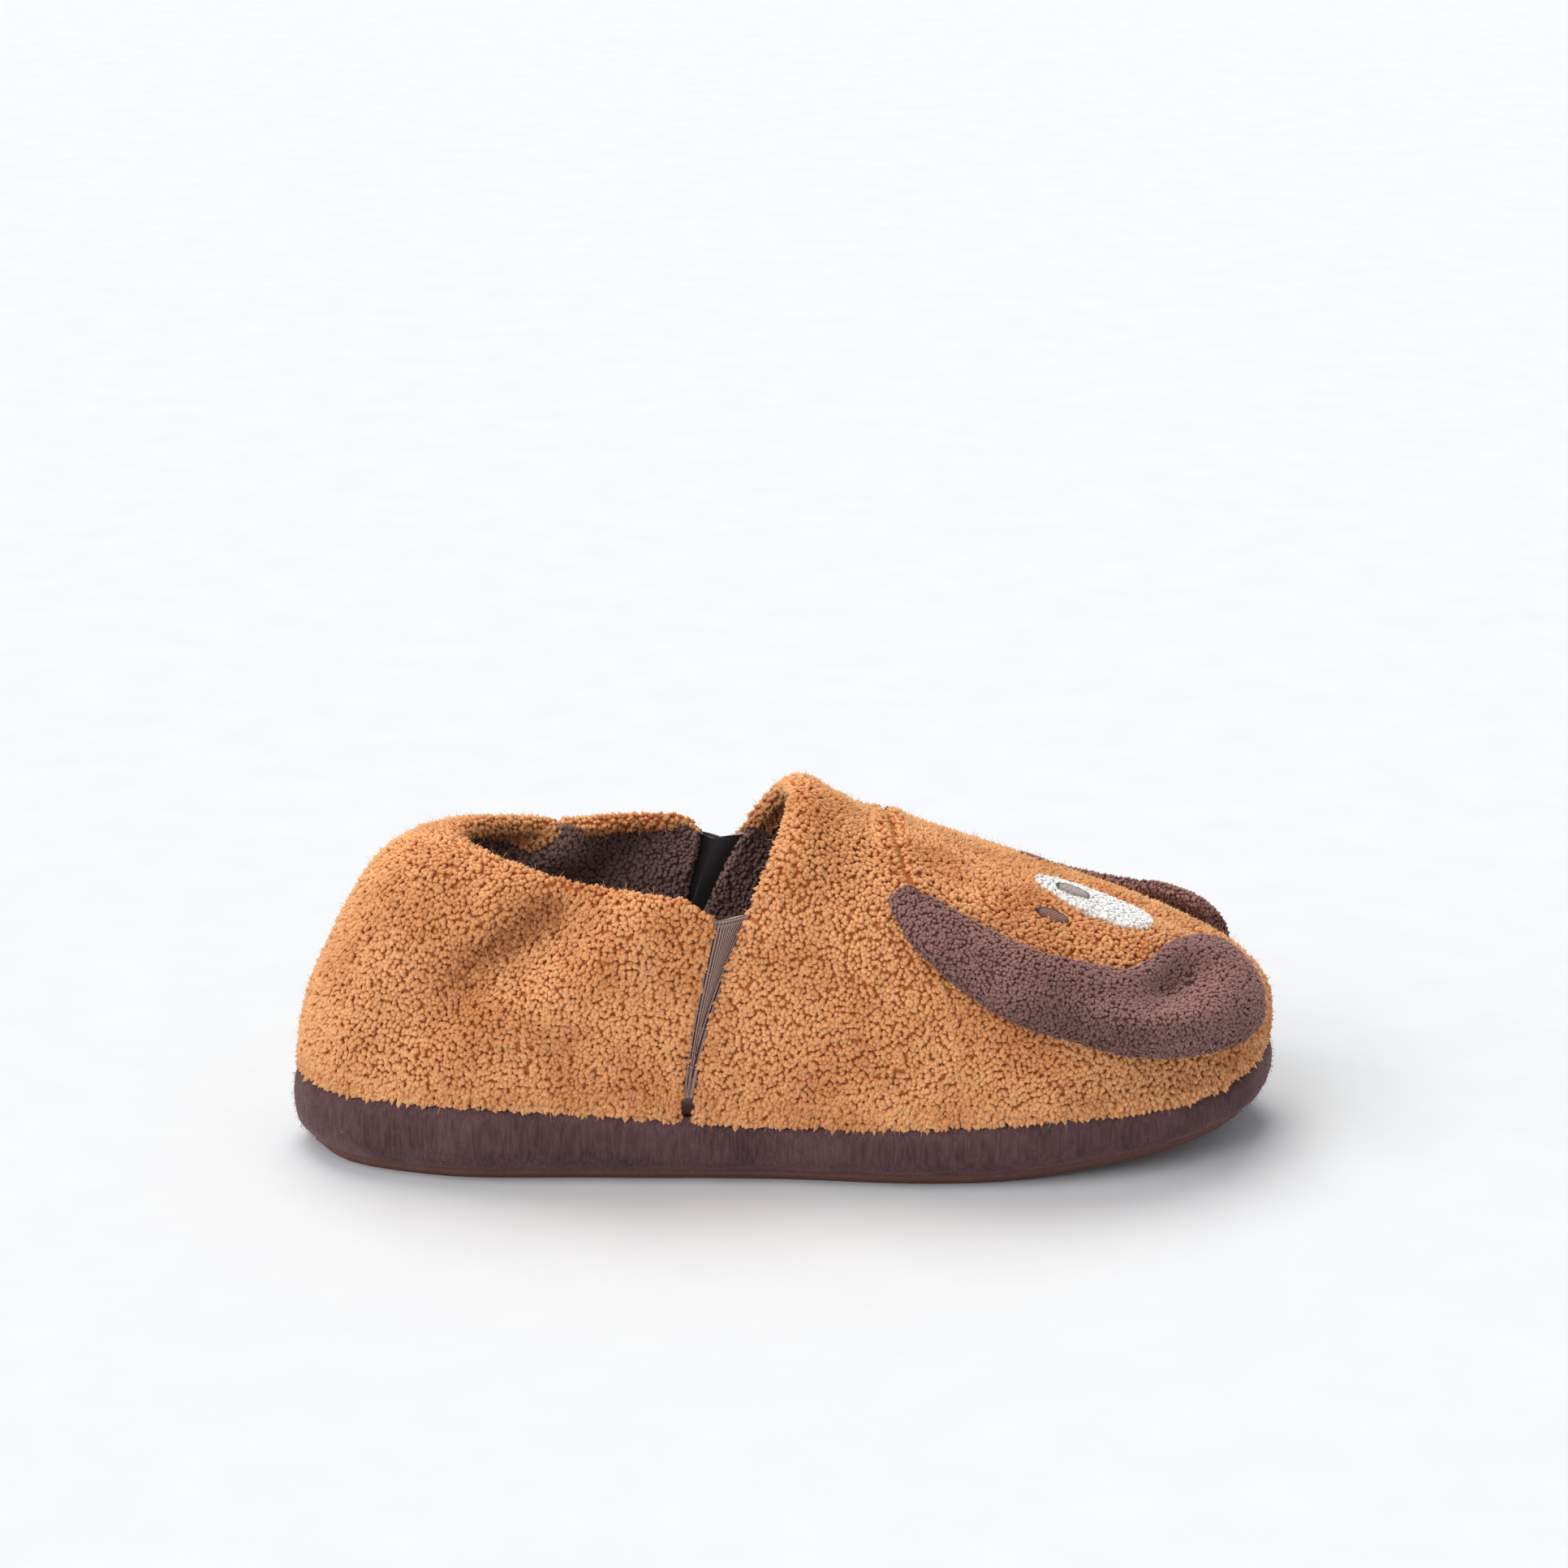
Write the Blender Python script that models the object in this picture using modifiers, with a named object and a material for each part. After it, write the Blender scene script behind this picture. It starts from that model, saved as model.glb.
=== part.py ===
"""Child's plush slipper with a dog's face, right foot.

The frame is in metres: +X runs from the heel to the toe, +Y to the inner side of the foot, +Z up. The origin is on
the floor, halfway between the back of the heel and the tip of the toe.
Every surface of the upper comes from one function: ribs that rise from the seam above the sole to the collar or to
the ridge of the instep, each a quarter of a rounded arch.
"""

import math

import bpy
import numpy as np
from mathutils import Vector
from mathutils.bvhtree import BVHTree

# Driving sizes, in metres
SHOE_LENGTH = 0.200
BALL_WIDTH = 0.076
SOLE_HEIGHT = 0.0133
TOE_SPRING = 0.0055
HEEL_HEIGHT = 0.0665
INSTEP_HEIGHT = 0.0736
OUTSOLE_THICKNESS = 0.0024
OUTSOLE_INSET = 0.0032
OUTSOLE_CHAMFER = 0.0014
INSOLE_THICKNESS = 0.0030
WALL = 0.0030
UPPER_INSET = 0.0009
SIDE_BULGE = 0.0022
HEEL_SLOPE = 0.0056
RIB_SWEEP = 1.5
GORE_THICKNESS = 0.0012
GORE_MARGIN = 0.0050
SLIT_AT_FOOT = 0.0010
SLIT_STRIP = 0.0022
SEAM_DEPTH = 0.0012
SEAM_LIP = 0.0008
SEAM_HALF_WIDTH = 0.0014
EAR_WIDTH = 0.0250
EAR_THICKNESS = 0.0056
MUZZLE_LENGTH = 0.0236
MUZZLE_WIDTH = 0.0190
MUZZLE_THICKNESS = 0.0012
EYE_LENGTH = 0.0064
EYE_WIDTH = 0.0036
EYE_SPACING = 0.0326
NOSE_LENGTH = 0.0066
NOSE_WIDTH = 0.0052
EMBROIDERY_THICKNESS = 0.0008
CLEARANCE = 0.0003
SOFT_CLEARANCE = 0.0005
EAR_CLEARANCE = 0.0007
GORE_CLEARANCE = 0.0004

LATERAL, MEDIAL = -1, 1

# Sole seen from above. Columns: along (share of the length from the heel), out (share of the ball width, inner side +)
OUTLINE = (
    (0.000, 0.000),
    (0.035, -0.215),
    (0.130, -0.350),
    (0.300, -0.402),
    (0.470, -0.437),
    (0.640, -0.500),
    (0.780, -0.480),
    (0.900, -0.372),
    (0.973, -0.185),
    (1.000, 0.045),
    (0.974, 0.245),
    (0.900, 0.400),
    (0.770, 0.494),
    (0.630, 0.484),
    (0.470, 0.415),
    (0.300, 0.390),
    (0.130, 0.340),
    (0.035, 0.212),
)
# Rounded side of the padded sole. Columns: inset (share of the sole's height), height (0 outsole, 1 seam)
SOLE_SECTION = (
    (0.190, 0.000),
    (0.085, 0.120),
    (0.020, 0.300),
    (0.000, 0.560),
    (0.015, 0.800),
    (0.070, 0.940),
    (0.160, 1.000),
)
# Sole seen from the side. Columns: along, thickness (share of the sole's height), spring (share of the toe's)
SOLE_SIDE = (
    (0.00, 1.18, 0.00),
    (0.10, 1.22, 0.00),
    (0.20, 1.20, 0.00),
    (0.32, 1.09, 0.00),
    (0.44, 0.95, 0.00),
    (0.56, 0.94, 0.00),
    (0.68, 1.00, 0.00),
    (0.76, 0.95, 0.22),
    (0.84, 0.84, 0.46),
    (0.92, 0.78, 0.72),
    (1.00, 0.93, 1.00),
)
# Collar. Columns: round (share of the seam from the heel's back to the slit), along, out, up (share of the heel's
# height), and for the rib below it squareness (2 is an ellipse), puff and slope (shares of bulge and heel slope)
COLLAR = (
    (0.00, 0.183, 0.000, 0.982, 2.50, 1.00, 1.00),
    (0.20, 0.194, 0.095, 0.970, 2.45, 0.90, 0.80),
    (0.40, 0.230, 0.195, 0.943, 2.40, 0.90, 0.40),
    (0.60, 0.290, 0.285, 0.908, 2.45, 1.00, 0.10),
    (0.80, 0.360, 0.362, 0.893, 2.60, 1.00, 0.00),
    (0.93, 0.404, 0.398, 0.871, 2.80, 0.90, 0.00),
    (1.00, 0.422, 0.401, 0.833, 2.90, 0.80, 0.00),
)
COLLAR_REACH = {LATERAL: 1.00, MEDIAL: 0.955}
# Ridge of the instep. Columns: foot (where the rib starts, share of the length), along (where it ends), up (share of
# the instep's height), out, squareness
RIDGE = (
    (0.390, 0.500, 0.973, 0.000, 2.50),
    (0.440, 0.518, 1.000, 0.000, 2.50),
    (0.520, 0.556, 0.951, 0.002, 2.45),
    (0.600, 0.584, 0.907, 0.006, 2.40),
    (0.660, 0.604, 0.892, 0.010, 2.35),
    (0.750, 0.702, 0.781, 0.018, 2.30),
    (0.850, 0.796, 0.675, 0.022, 2.25),
    (0.930, 0.872, 0.582, 0.026, 2.25),
    (1.000, 0.944, 0.482, 0.030, 2.30),
)
SEAM_FOOT = 0.660
SEAM_RISE = 0.56
GORE_TOP = 0.825
# Soft folds of the heel. Columns: start along, start up, end along, end up (shares of the length and of the heel's
# height), half width, and depth (share of the wall; below 0 is a trough)
FOLDS = (
    (0.262, 0.800, 0.120, 0.520, 0.0060, -1.30),
    (0.330, 0.760, 0.170, 0.470, 0.0075, 0.55),
)
# Each ear from its root to its tip; the outer one reaches round the toe, and the inner one hangs lower. Columns:
# along, out, up (share of the instep's height), width, thickness (shares of the ear's)
EAR_OUTER = (
    (0.5980, 0.325, 0.780, 0.200, 0.45),
    (0.6130, 0.352, 0.738, 0.320, 0.75),
    (0.6340, 0.386, 0.684, 0.430, 0.95),
    (0.6800, 0.420, 0.604, 0.520, 1.05),
    (0.7230, 0.432, 0.543, 0.570, 1.10),
    (0.7770, 0.426, 0.496, 0.600, 1.10),
    (0.8250, 0.400, 0.458, 0.665, 1.05),
    (0.8600, 0.354, 0.451, 0.790, 1.00),
    (0.8920, 0.292, 0.454, 0.930, 0.95),
    (0.9220, 0.226, 0.453, 0.930, 0.90),
    (0.9440, 0.172, 0.446, 0.730, 0.85),
    (0.9550, 0.135, 0.437, 0.350, 0.60),
)
EAR_INNER = (
    (0.5980, 0.325, 0.780, 0.180, 0.45),
    (0.6120, 0.350, 0.738, 0.290, 0.75),
    (0.6320, 0.385, 0.678, 0.370, 0.95),
    (0.6750, 0.412, 0.608, 0.420, 1.00),
    (0.7150, 0.423, 0.556, 0.440, 1.00),
    (0.7650, 0.420, 0.520, 0.480, 1.00),
    (0.8100, 0.403, 0.481, 0.550, 1.00),
    (0.8480, 0.380, 0.450, 0.680, 1.00),
    (0.8800, 0.352, 0.438, 0.820, 1.00),
    (0.9100, 0.306, 0.440, 0.900, 1.00),
    (0.9350, 0.256, 0.436, 0.760, 0.95),
    (0.9460, 0.225, 0.432, 0.420, 0.75),
)
# Places on the face. Columns: along, out
MUZZLE_AT = (0.807, -0.075)
NOSE_AT = (0.783, -0.100)
EYES_AT = (0.758, -0.024)
MUZZLE_TAPER = 0.42

# How finely things are divided
OUTLINE_STEPS = 720
SOLE_STEPS = 72
QUARTER_COLUMNS = 20
VAMP_COLUMNS = 20
UPPER_ROWS = 14
EAR_STATIONS = 22
EAR_RING = 14
PAD_SECTORS = 20
PAD_RINGS = 3
GORE_ROWS = 8
DRAPE_FINENESS = 4

PLUSH_CARAMEL = ("caramel_plush", (0.62, 0.27, 0.07), 0.95)
PLUSH_COCOA = ("cocoa_plush", (0.085, 0.04, 0.035), 0.95)
SOLE_COCOA = ("cocoa_short_plush", (0.075, 0.035, 0.032), 0.9)
LINING_COCOA = ("cocoa_lining", (0.05, 0.028, 0.024), 0.95)
ELASTIC_COCOA = ("cocoa_elastic", (0.10, 0.06, 0.055), 0.7)
OUTSOLE_BROWN = ("brown_outsole", (0.13, 0.055, 0.04), 0.8)
PLUSH_WHITE = ("white_plush", (0.86, 0.86, 0.84), 0.95)
THREAD_DARK = ("dark_embroidery", (0.05, 0.03, 0.03), 0.5)


def smooth_between(knots, values, at):
    """Values at the places asked for, on a smooth curve through the rows: cubic pieces between mean slopes."""
    knots = np.asarray(knots, float)
    values = np.asarray(values, float)
    steps = np.diff(knots)
    chords = np.diff(values) / steps
    slopes = np.concatenate([chords[:1], np.zeros(len(knots) - 2), chords[-1:]])
    slopes[1:-1] = (chords[:-1] * steps[1:] + chords[1:] * steps[:-1]) / (steps[:-1] + steps[1:])
    at = np.asarray(at, float)
    piece = np.clip(np.searchsorted(knots, at, side="right") - 1, 0, len(steps) - 1)
    t = (at - knots[piece]) / steps[piece]
    start = values[piece] * (2 * t**3 - 3 * t**2 + 1) + slopes[piece] * steps[piece] * (t**3 - 2 * t**2 + t)
    end = values[piece + 1] * (3 * t**2 - 2 * t**3) + slopes[piece + 1] * steps[piece] * (t**3 - t**2)
    return start + end


def from_table(rows, column, at):
    """One column of a table, read smoothly at the places asked for in its first column."""
    table = np.array(rows, float)
    return smooth_between(table[:, 0], table[:, column], at)


def smooth_step(low, high, at):
    """0 below low, 1 above high, and a soft S between them."""
    t = np.clip((np.asarray(at, float) - low) / (high - low), 0, 1)
    return t * t * (3 - 2 * t)


def spring_at(x):
    """How far the sole's bottom has left the floor at x."""
    return TOE_SPRING * np.maximum(0, from_table(SOLE_SIDE, 2, np.clip(x / SHOE_LENGTH + 0.5, 0, 1)))


def seam_height(x):
    """Height of the padded sole's top at x, where the upper is sewn on."""
    return SOLE_HEIGHT * from_table(SOLE_SIDE, 1, np.clip(x / SHOE_LENGTH + 0.5, 0, 1)) + spring_at(x)


class Outline:
    """The sole's outline as a closed curve, read by distance from the back of the heel along the outer side."""

    def __init__(self, rows):
        corners = np.array(rows) * (SHOE_LENGTH, BALL_WIDTH) - (SHOE_LENGTH / 2, 0)
        loop = np.vstack([corners[-3:], corners, corners[:4]])
        knots = np.concatenate([[0], np.cumsum(np.linalg.norm(np.diff(loop, axis=0), axis=1))])
        fine = np.linspace(knots[3], knots[3 + len(corners)], OUTLINE_STEPS + 1)
        self.xy = np.column_stack([smooth_between(knots, loop[:, k], fine) for k in (0, 1)])
        self.arc = np.concatenate([[0], np.cumsum(np.linalg.norm(np.diff(self.xy, axis=0), axis=1))])
        self.length = self.arc[-1]
        self.tip = self.arc[np.argmax(self.xy[:, 0])]
        ahead = np.roll(self.xy[:-1], -1, axis=0) - np.roll(self.xy[:-1], 1, axis=0)
        tangent = ahead / np.linalg.norm(ahead, axis=1)[:, None]
        self.tangent = np.vstack([tangent, tangent[:1]])

    def read(self, arc):
        """Points and unit tangents at these distances."""
        arc = np.mod(arc, self.length)
        point = np.column_stack([np.interp(arc, self.arc, self.xy[:, k]) for k in (0, 1)])
        tangent = np.column_stack([np.interp(arc, self.arc, self.tangent[:, k]) for k in (0, 1)])
        return point, tangent / np.linalg.norm(tangent, axis=1)[:, None]

    def inset(self, arc, distance):
        """Points that lie this far inside the outline."""
        point, tangent = self.read(arc)
        return point + np.column_stack([-tangent[:, 1], tangent[:, 0]]) * distance

    def arc_at(self, side, along):
        """Distance round the outline at which one side is at this share of the length."""
        half = self.arc <= self.tip if side == LATERAL else self.arc >= self.tip
        x, arc = self.xy[half, 0], self.arc[half]
        order = np.argsort(x)
        return float(np.interp((along - 0.5) * SHOE_LENGTH, x[order], arc[order]))


class Upper:
    """The outer surface of the upper, over the whole foot, as ribs and rises."""

    def __init__(self, outline):
        self.outline = outline
        slit = RIDGE[0][0]
        self.slit = {side: outline.arc_at(side, slit) for side in (LATERAL, MEDIAL)}
        shares = np.linspace(0, 1, OUTLINE_STEPS // 4)
        mean = (self.vamp_feet(LATERAL, shares)[0][:, 0] + self.vamp_feet(MEDIAL, shares)[0][:, 0]) / 2
        self.vamp_shares = shares
        self.vamp_along = np.maximum.accumulate(mean / SHOE_LENGTH + 0.5)

    def feet_at(self, arc):
        """Foot points and tangents of ribs at these distances round the sole."""
        point = self.outline.inset(arc, UPPER_INSET)
        height = seam_height(point[:, 0]) + CLEARANCE
        return np.column_stack([point, height]), self.outline.read(arc)[1]

    def quarter_feet(self, side, share):
        """Feet of the heel part's ribs: 0 at the back of the heel, 1 at the slit."""
        reach = self.slit[LATERAL] if side == LATERAL else self.outline.length - self.slit[MEDIAL]
        arc = np.asarray(share, float) * (reach - SLIT_AT_FOOT / 2)
        return self.feet_at(arc if side == LATERAL else self.outline.length - arc)

    def vamp_feet(self, side, share):
        """Feet of the front part's ribs: 0 at the slit, 1 at the tip of the toe."""
        start = self.slit[side] - side * SLIT_AT_FOOT / 2
        return self.feet_at(start + np.asarray(share, float) * (self.outline.tip - start))

    def rib_points(self, feet, tangent, top, square, puff, slope, rise):
        """Points on ribs. Towards the inside a rib closes as 1 - cos^(2/n), and along and up it goes as sin^(2/n)."""
        inward = np.column_stack([-tangent[:, 1], tangent[:, 0]])
        span = top - feet
        across = np.sum(span[:, :2] * inward, axis=1)
        lean = np.sum(span[:, :2] * tangent, axis=1)
        angle = rise * math.pi / 2
        up = np.sin(angle) ** (2 / square)
        close = 1 - np.clip(np.cos(angle), 0, 1) ** (2 / square)
        swell = puff * SIDE_BULGE * np.sin(math.pi * rise) * (1 - rise)
        swell -= slope * HEEL_SLOPE * np.sin(math.pi * up**1.7)
        flat = feet[:, :2] + inward * (across * close - swell)[:, None] + tangent * (lean * up**RIB_SWEEP)[:, None]
        return np.column_stack([flat, feet[:, 2] + span[:, 2] * up])

    def quarter_tops(self, side, share):
        """Collar points above the heel part's feet, and the squareness of each rib."""
        along, out, up, square = (from_table(COLLAR, column, share) for column in (1, 2, 3, 4))
        place = np.column_stack([(along - 0.5) * SHOE_LENGTH, side * out * COLLAR_REACH[side] * BALL_WIDTH, up * HEEL_HEIGHT])
        return place, square

    def vamp_tops(self, share):
        """Ridge points above the front part's feet, and the squareness of each rib."""
        foot = np.interp(share, self.vamp_shares, self.vamp_along)
        along, up, out, square = (from_table(RIDGE, column, foot) for column in (1, 2, 3, 4))
        place = np.column_stack([(along - 0.5) * SHOE_LENGTH, out * BALL_WIDTH, up * INSTEP_HEIGHT])
        return place, square

    def quarter(self, side, share, rise):
        """Points of the heel part, folds included. Share and rise are arrays of one length."""
        share = np.asarray(share, float)
        feet, tangent = self.quarter_feet(side, share)
        top, square = self.quarter_tops(side, share)
        puff, slope = (from_table(COLLAR, column, share) for column in (5, 6))
        bare = self.rib_points(feet, tangent, top, square, puff, slope, rise)
        outward = np.column_stack([tangent[:, 1], -tangent[:, 0], 0 * share])
        upright = smooth_step(1.0, 0.8, rise) * smooth_step(0.0, 0.15, rise)
        return bare + outward * (self.fold_depth(bare) * upright)[:, None]

    def vamp(self, side, share, rise):
        """Points of the front part, with the seam that the ears are caught in."""
        share = np.asarray(share, float)
        feet, tangent = self.vamp_feet(side, share)
        top, square = self.vamp_tops(share)
        bare = self.rib_points(feet, tangent, top, square, 0.8, 0, rise)
        ridge = np.interp(share, self.vamp_shares, self.vamp_along)
        distance = (ridge - SEAM_FOOT) * SHOE_LENGTH / SEAM_HALF_WIDTH
        groove = np.exp(-(distance**2)) * SEAM_DEPTH
        lip = np.exp(-((distance - 2) ** 2)) * SEAM_LIP
        bare[:, 2] += (lip - groove) * smooth_step(SEAM_RISE - 0.1, SEAM_RISE + 0.15, rise)
        return bare

    @staticmethod
    def fold_depth(points):
        """Sum of the soft folds at these points: each is a smooth bell across a short line in the side view."""
        place = points[:, [0, 2]]
        depth = np.zeros(len(points))
        for start_x, start_z, end_x, end_z, width, height in FOLDS:
            start = np.array([(start_x - 0.5) * SHOE_LENGTH, start_z * HEEL_HEIGHT])
            line = np.array([(end_x - 0.5) * SHOE_LENGTH, end_z * HEEL_HEIGHT]) - start
            share = np.clip((place - start) @ line / (line @ line), 0, 1)
            away = np.linalg.norm(place - start - share[:, None] * line, axis=1)
            fade = 1 - 0.75 * share**2
            depth += height * WALL * fade * np.exp(-((away / width) ** 2))
        return depth

    def strip_rise(self, feet, top, square):
        """The rise at which each rib has climbed the strip that joins heel part and front part below the slit."""
        share = SLIT_STRIP / (top[:, 2] - feet[:, 2])
        return np.arcsin(share ** (square / 2)) * 2 / math.pi

    def seam_shares(self, per_side):
        """Shares of the front part's ribs: even, with the seam's groove and lip picked out."""
        seam = float(np.interp(SEAM_FOOT, self.vamp_along, self.vamp_shares))
        width = SEAM_HALF_WIDTH / (self.outline.tip - self.slit[LATERAL])
        before = np.linspace(0, seam - 1.4 * width, max(2, round(per_side * seam)))
        after = np.linspace(seam + 4.5 * width, 1, max(2, round(per_side * (1 - seam))))
        return np.concatenate([before, seam + width * np.array([0, 1.0, 2.0, 3.2]), after])

    def grid(self, quarter_columns, vamp_columns, rows):
        """Points and faces of the whole surface: a ring of ribs, slit on both sides above a low strip."""
        quarter_shares = np.linspace(0, 1, quarter_columns + 1)
        vamp_shares = self.seam_shares(vamp_columns)
        columns = [("quarter", MEDIAL, s) for s in quarter_shares[::-1]]
        columns += [("quarter", LATERAL, s) for s in quarter_shares[1:]]
        columns += [("vamp", LATERAL, s) for s in vamp_shares]
        columns += [("vamp", MEDIAL, s) for s in vamp_shares[-2::-1]]
        points = []
        for part, side, share in columns:
            one = np.array([share])
            if part == "quarter":
                feet, (top, square) = self.quarter_feet(side, one)[0], self.quarter_tops(side, one)
            else:
                feet, (top, square) = self.vamp_feet(side, one)[0], self.vamp_tops(one)
            rises = np.concatenate([[0], self.strip_rise(feet, top, square), np.arange(1, rows + 1) / rows])
            surface = self.quarter if part == "quarter" else self.vamp
            points.append(surface(side, np.full(len(rises), share), rises))
        points = np.array(points)
        per_column = rows + 2
        index = np.arange(points.shape[0] * per_column).reshape(-1, per_column)
        first = 2 * quarter_columns + 1
        last = len(columns) - 1
        for k in range(len(vamp_shares) - 1):
            index[last - k, -1] = index[first + k, -1]
        faces = []
        for here in range(len(columns)):
            there = (here + 1) % len(columns)
            is_slit = here in (first - 1, last)
            for row in range(1 if is_slit else per_column - 1):
                corners = [index[here, row], index[there, row], index[there, row + 1], index[here, row + 1]]
                faces.append([int(c) for k, c in enumerate(corners) if c not in corners[:k]])
        return points.reshape(-1, 3), faces


def add_object(name, points, faces, finish, collection):
    """A mesh object from points and faces, with stray points dropped, its normals outward and its material set."""
    used = sorted({corner for face in faces for corner in face})
    place = {corner: k for k, corner in enumerate(used)}
    mesh = bpy.data.meshes.new(name)
    mesh.from_pydata([tuple(points[k]) for k in used], [], [[place[c] for c in face] for face in faces])
    mesh.validate()
    mesh.shade_smooth()
    obj = bpy.data.objects.new(name, mesh)
    collection.objects.link(obj)
    mesh.materials.append(material(*finish))
    return obj


def material(name, colour, roughness):
    """A plain cloth or rubber surface, made once for each name."""
    found = bpy.data.materials.get(name)
    if found:
        return found
    made = bpy.data.materials.new(name)
    made.use_nodes = True
    shader = made.node_tree.nodes["Principled BSDF"]
    shader.inputs["Base Color"].default_value = (*colour, 1)
    shader.inputs["Roughness"].default_value = roughness
    shader.inputs["Metallic"].default_value = 0
    return made


def stacked_rings(rings):
    """Points and faces of a closed solid from rings of equal count, each end closed by strips from side to side."""
    count = len(rings[0])
    points = np.vstack(rings)
    faces = []
    for level in range(len(rings) - 1):
        for k in range(count):
            low, low_next = level * count + k, level * count + (k + 1) % count
            faces.append([low, low_next, low_next + count, low + count])
    top = (len(rings) - 1) * count
    for k in range(count // 2):
        near, far = (k, k + 1), ((count - k) % count, count - k - 1)
        strip = [near[0], near[1], far[1], far[0]]
        unique = [c for n, c in enumerate(strip) if c not in strip[:n]]
        faces.append([c + top for c in unique])
        faces.append(unique[::-1])
    return points, faces


def sole_ring(outline, inset, share, height):
    """A ring of the sole: the outline drawn in, at a share of the way to the seam and a height above that."""
    arc = np.concatenate([
        np.linspace(0, outline.tip, SOLE_STEPS // 2, endpoint=False),
        np.linspace(outline.tip, outline.length, SOLE_STEPS // 2, endpoint=False),
    ])
    flat = outline.inset(arc, inset)
    spring = spring_at(flat[:, 0])
    return np.column_stack([flat, spring + share * (seam_height(flat[:, 0]) - spring) + height])


def build_outsole(outline, collection):
    """Thin outsole with a chamfered lower edge, set in from the padded sole above it."""
    rings = [
        sole_ring(outline, OUTSOLE_INSET + OUTSOLE_CHAMFER, 0, 0),
        sole_ring(outline, OUTSOLE_INSET, 0, OUTSOLE_CHAMFER),
        sole_ring(outline, OUTSOLE_INSET, 0, OUTSOLE_THICKNESS),
    ]
    return add_object("outsole", *stacked_rings(rings), OUTSOLE_BROWN, collection)


def build_midsole(outline, collection):
    """Foam sole wrapped in short plush, with a rolled side."""
    floor = OUTSOLE_THICKNESS + CLEARANCE
    rings = []
    for inset, height in SOLE_SECTION:
        rings.append(sole_ring(outline, inset * SOLE_HEIGHT, height, floor * (1 - height)))
    return add_object("padded_sole", *stacked_rings(rings), SOLE_COCOA, collection)


def build_insole(outline, collection):
    """Plush insole inside the foot of the upper."""
    edge = UPPER_INSET + WALL + SOFT_CLEARANCE
    rings = [
        sole_ring(outline, edge, 1, CLEARANCE),
        sole_ring(outline, edge, 1, CLEARANCE + INSOLE_THICKNESS * 0.6),
        sole_ring(outline, edge + INSOLE_THICKNESS * 0.4, 1, CLEARANCE + INSOLE_THICKNESS),
    ]
    return add_object("insole", *stacked_rings(rings), LINING_COCOA, collection)


def build_upper(upper, collection):
    """The upper as one hollow shell, given its wall inwards."""
    points, faces = upper.grid(QUARTER_COLUMNS, VAMP_COLUMNS, UPPER_ROWS)
    obj = add_object("upper", points, faces, PLUSH_CARAMEL, collection)
    wall = obj.modifiers.new("wall", "SOLIDIFY")
    wall.thickness = WALL
    wall.offset = -1
    wall.use_even_offset = True
    wall.use_rim = True
    return obj


def gore_point(upper, side, part, share, height):
    """A point of the elastic: behind the wall of the upper at this height, on a rib of the heel or front part."""
    share = np.array([share])
    if part == "quarter":
        feet, (top, square) = upper.quarter_feet(side, share)[0], upper.quarter_tops(side, share)
        surface = upper.quarter
    else:
        feet, (top, square) = upper.vamp_feet(side, share)[0], upper.vamp_tops(share)
        surface = upper.vamp
    climbed = np.clip((height - feet[:, 2]) / (top[:, 2] - feet[:, 2]), 0, 1)
    rise = np.arcsin(climbed ** (square / 2)) * 2 / math.pi
    step = 1e-3
    here = surface(side, share, rise)[0]
    up = surface(side, share, rise)[0] - surface(side, share, rise - step)[0]
    away = 1 if part == "vamp" else -1
    onward = (surface(side, share + away * step, rise)[0] - here) * away
    normal = np.cross(onward, up)
    normal /= np.linalg.norm(normal)
    inward = -normal if normal[1] * side > 0 else normal
    return here + inward * (WALL + GORE_CLEARANCE + GORE_THICKNESS / 2)


def build_gore(upper, side, name, collection):
    """Elastic that closes the slit on one side: a strip behind the edges of heel part and front part."""
    quarter_reach = upper.slit[LATERAL] if side == LATERAL else upper.outline.length - upper.slit[MEDIAL]
    vamp_reach = abs(upper.outline.tip - upper.slit[side])
    slit = np.array([(RIDGE[0][0] - 0.5) * SHOE_LENGTH])
    low = seam_height(slit)[0] + CLEARANCE + INSOLE_THICKNESS + 2 * SOFT_CLEARANCE
    high = GORE_TOP * HEEL_HEIGHT
    quarter_ribs = [("quarter", 1 - GORE_MARGIN / quarter_reach), ("quarter", 1)]
    ribs = quarter_ribs + [("vamp", 0), ("vamp", GORE_MARGIN / vamp_reach)]
    points = []
    for height in np.linspace(low, high, GORE_ROWS):
        points += [gore_point(upper, side, part, share, height) for part, share in ribs]
    faces = []
    for row in range(GORE_ROWS - 1):
        for k in range(3):
            corner = row * 4 + k
            faces.append([corner, corner + 1, corner + 5, corner + 4])
    obj = add_object(name, np.array(points), faces, ELASTIC_COCOA, collection)
    wall = obj.modifiers.new("wall", "SOLIDIFY")
    wall.thickness = GORE_THICKNESS
    wall.offset = 0
    return obj


def drape_tree(upper):
    """A fine copy of the upper's surface, to lay soft pieces on."""
    fine = DRAPE_FINENESS
    points, faces = upper.grid(QUARTER_COLUMNS * fine, VAMP_COLUMNS * fine, UPPER_ROWS * fine)
    return BVHTree.FromPolygons([tuple(p) for p in points], faces)


def outward_of(point, normal):
    """The normal turned to point away from the middle of the foot."""
    middle = Vector((point.x * 0.9, 0, SOLE_HEIGHT))
    return normal if normal.dot(point - middle) > 0 else -normal


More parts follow.
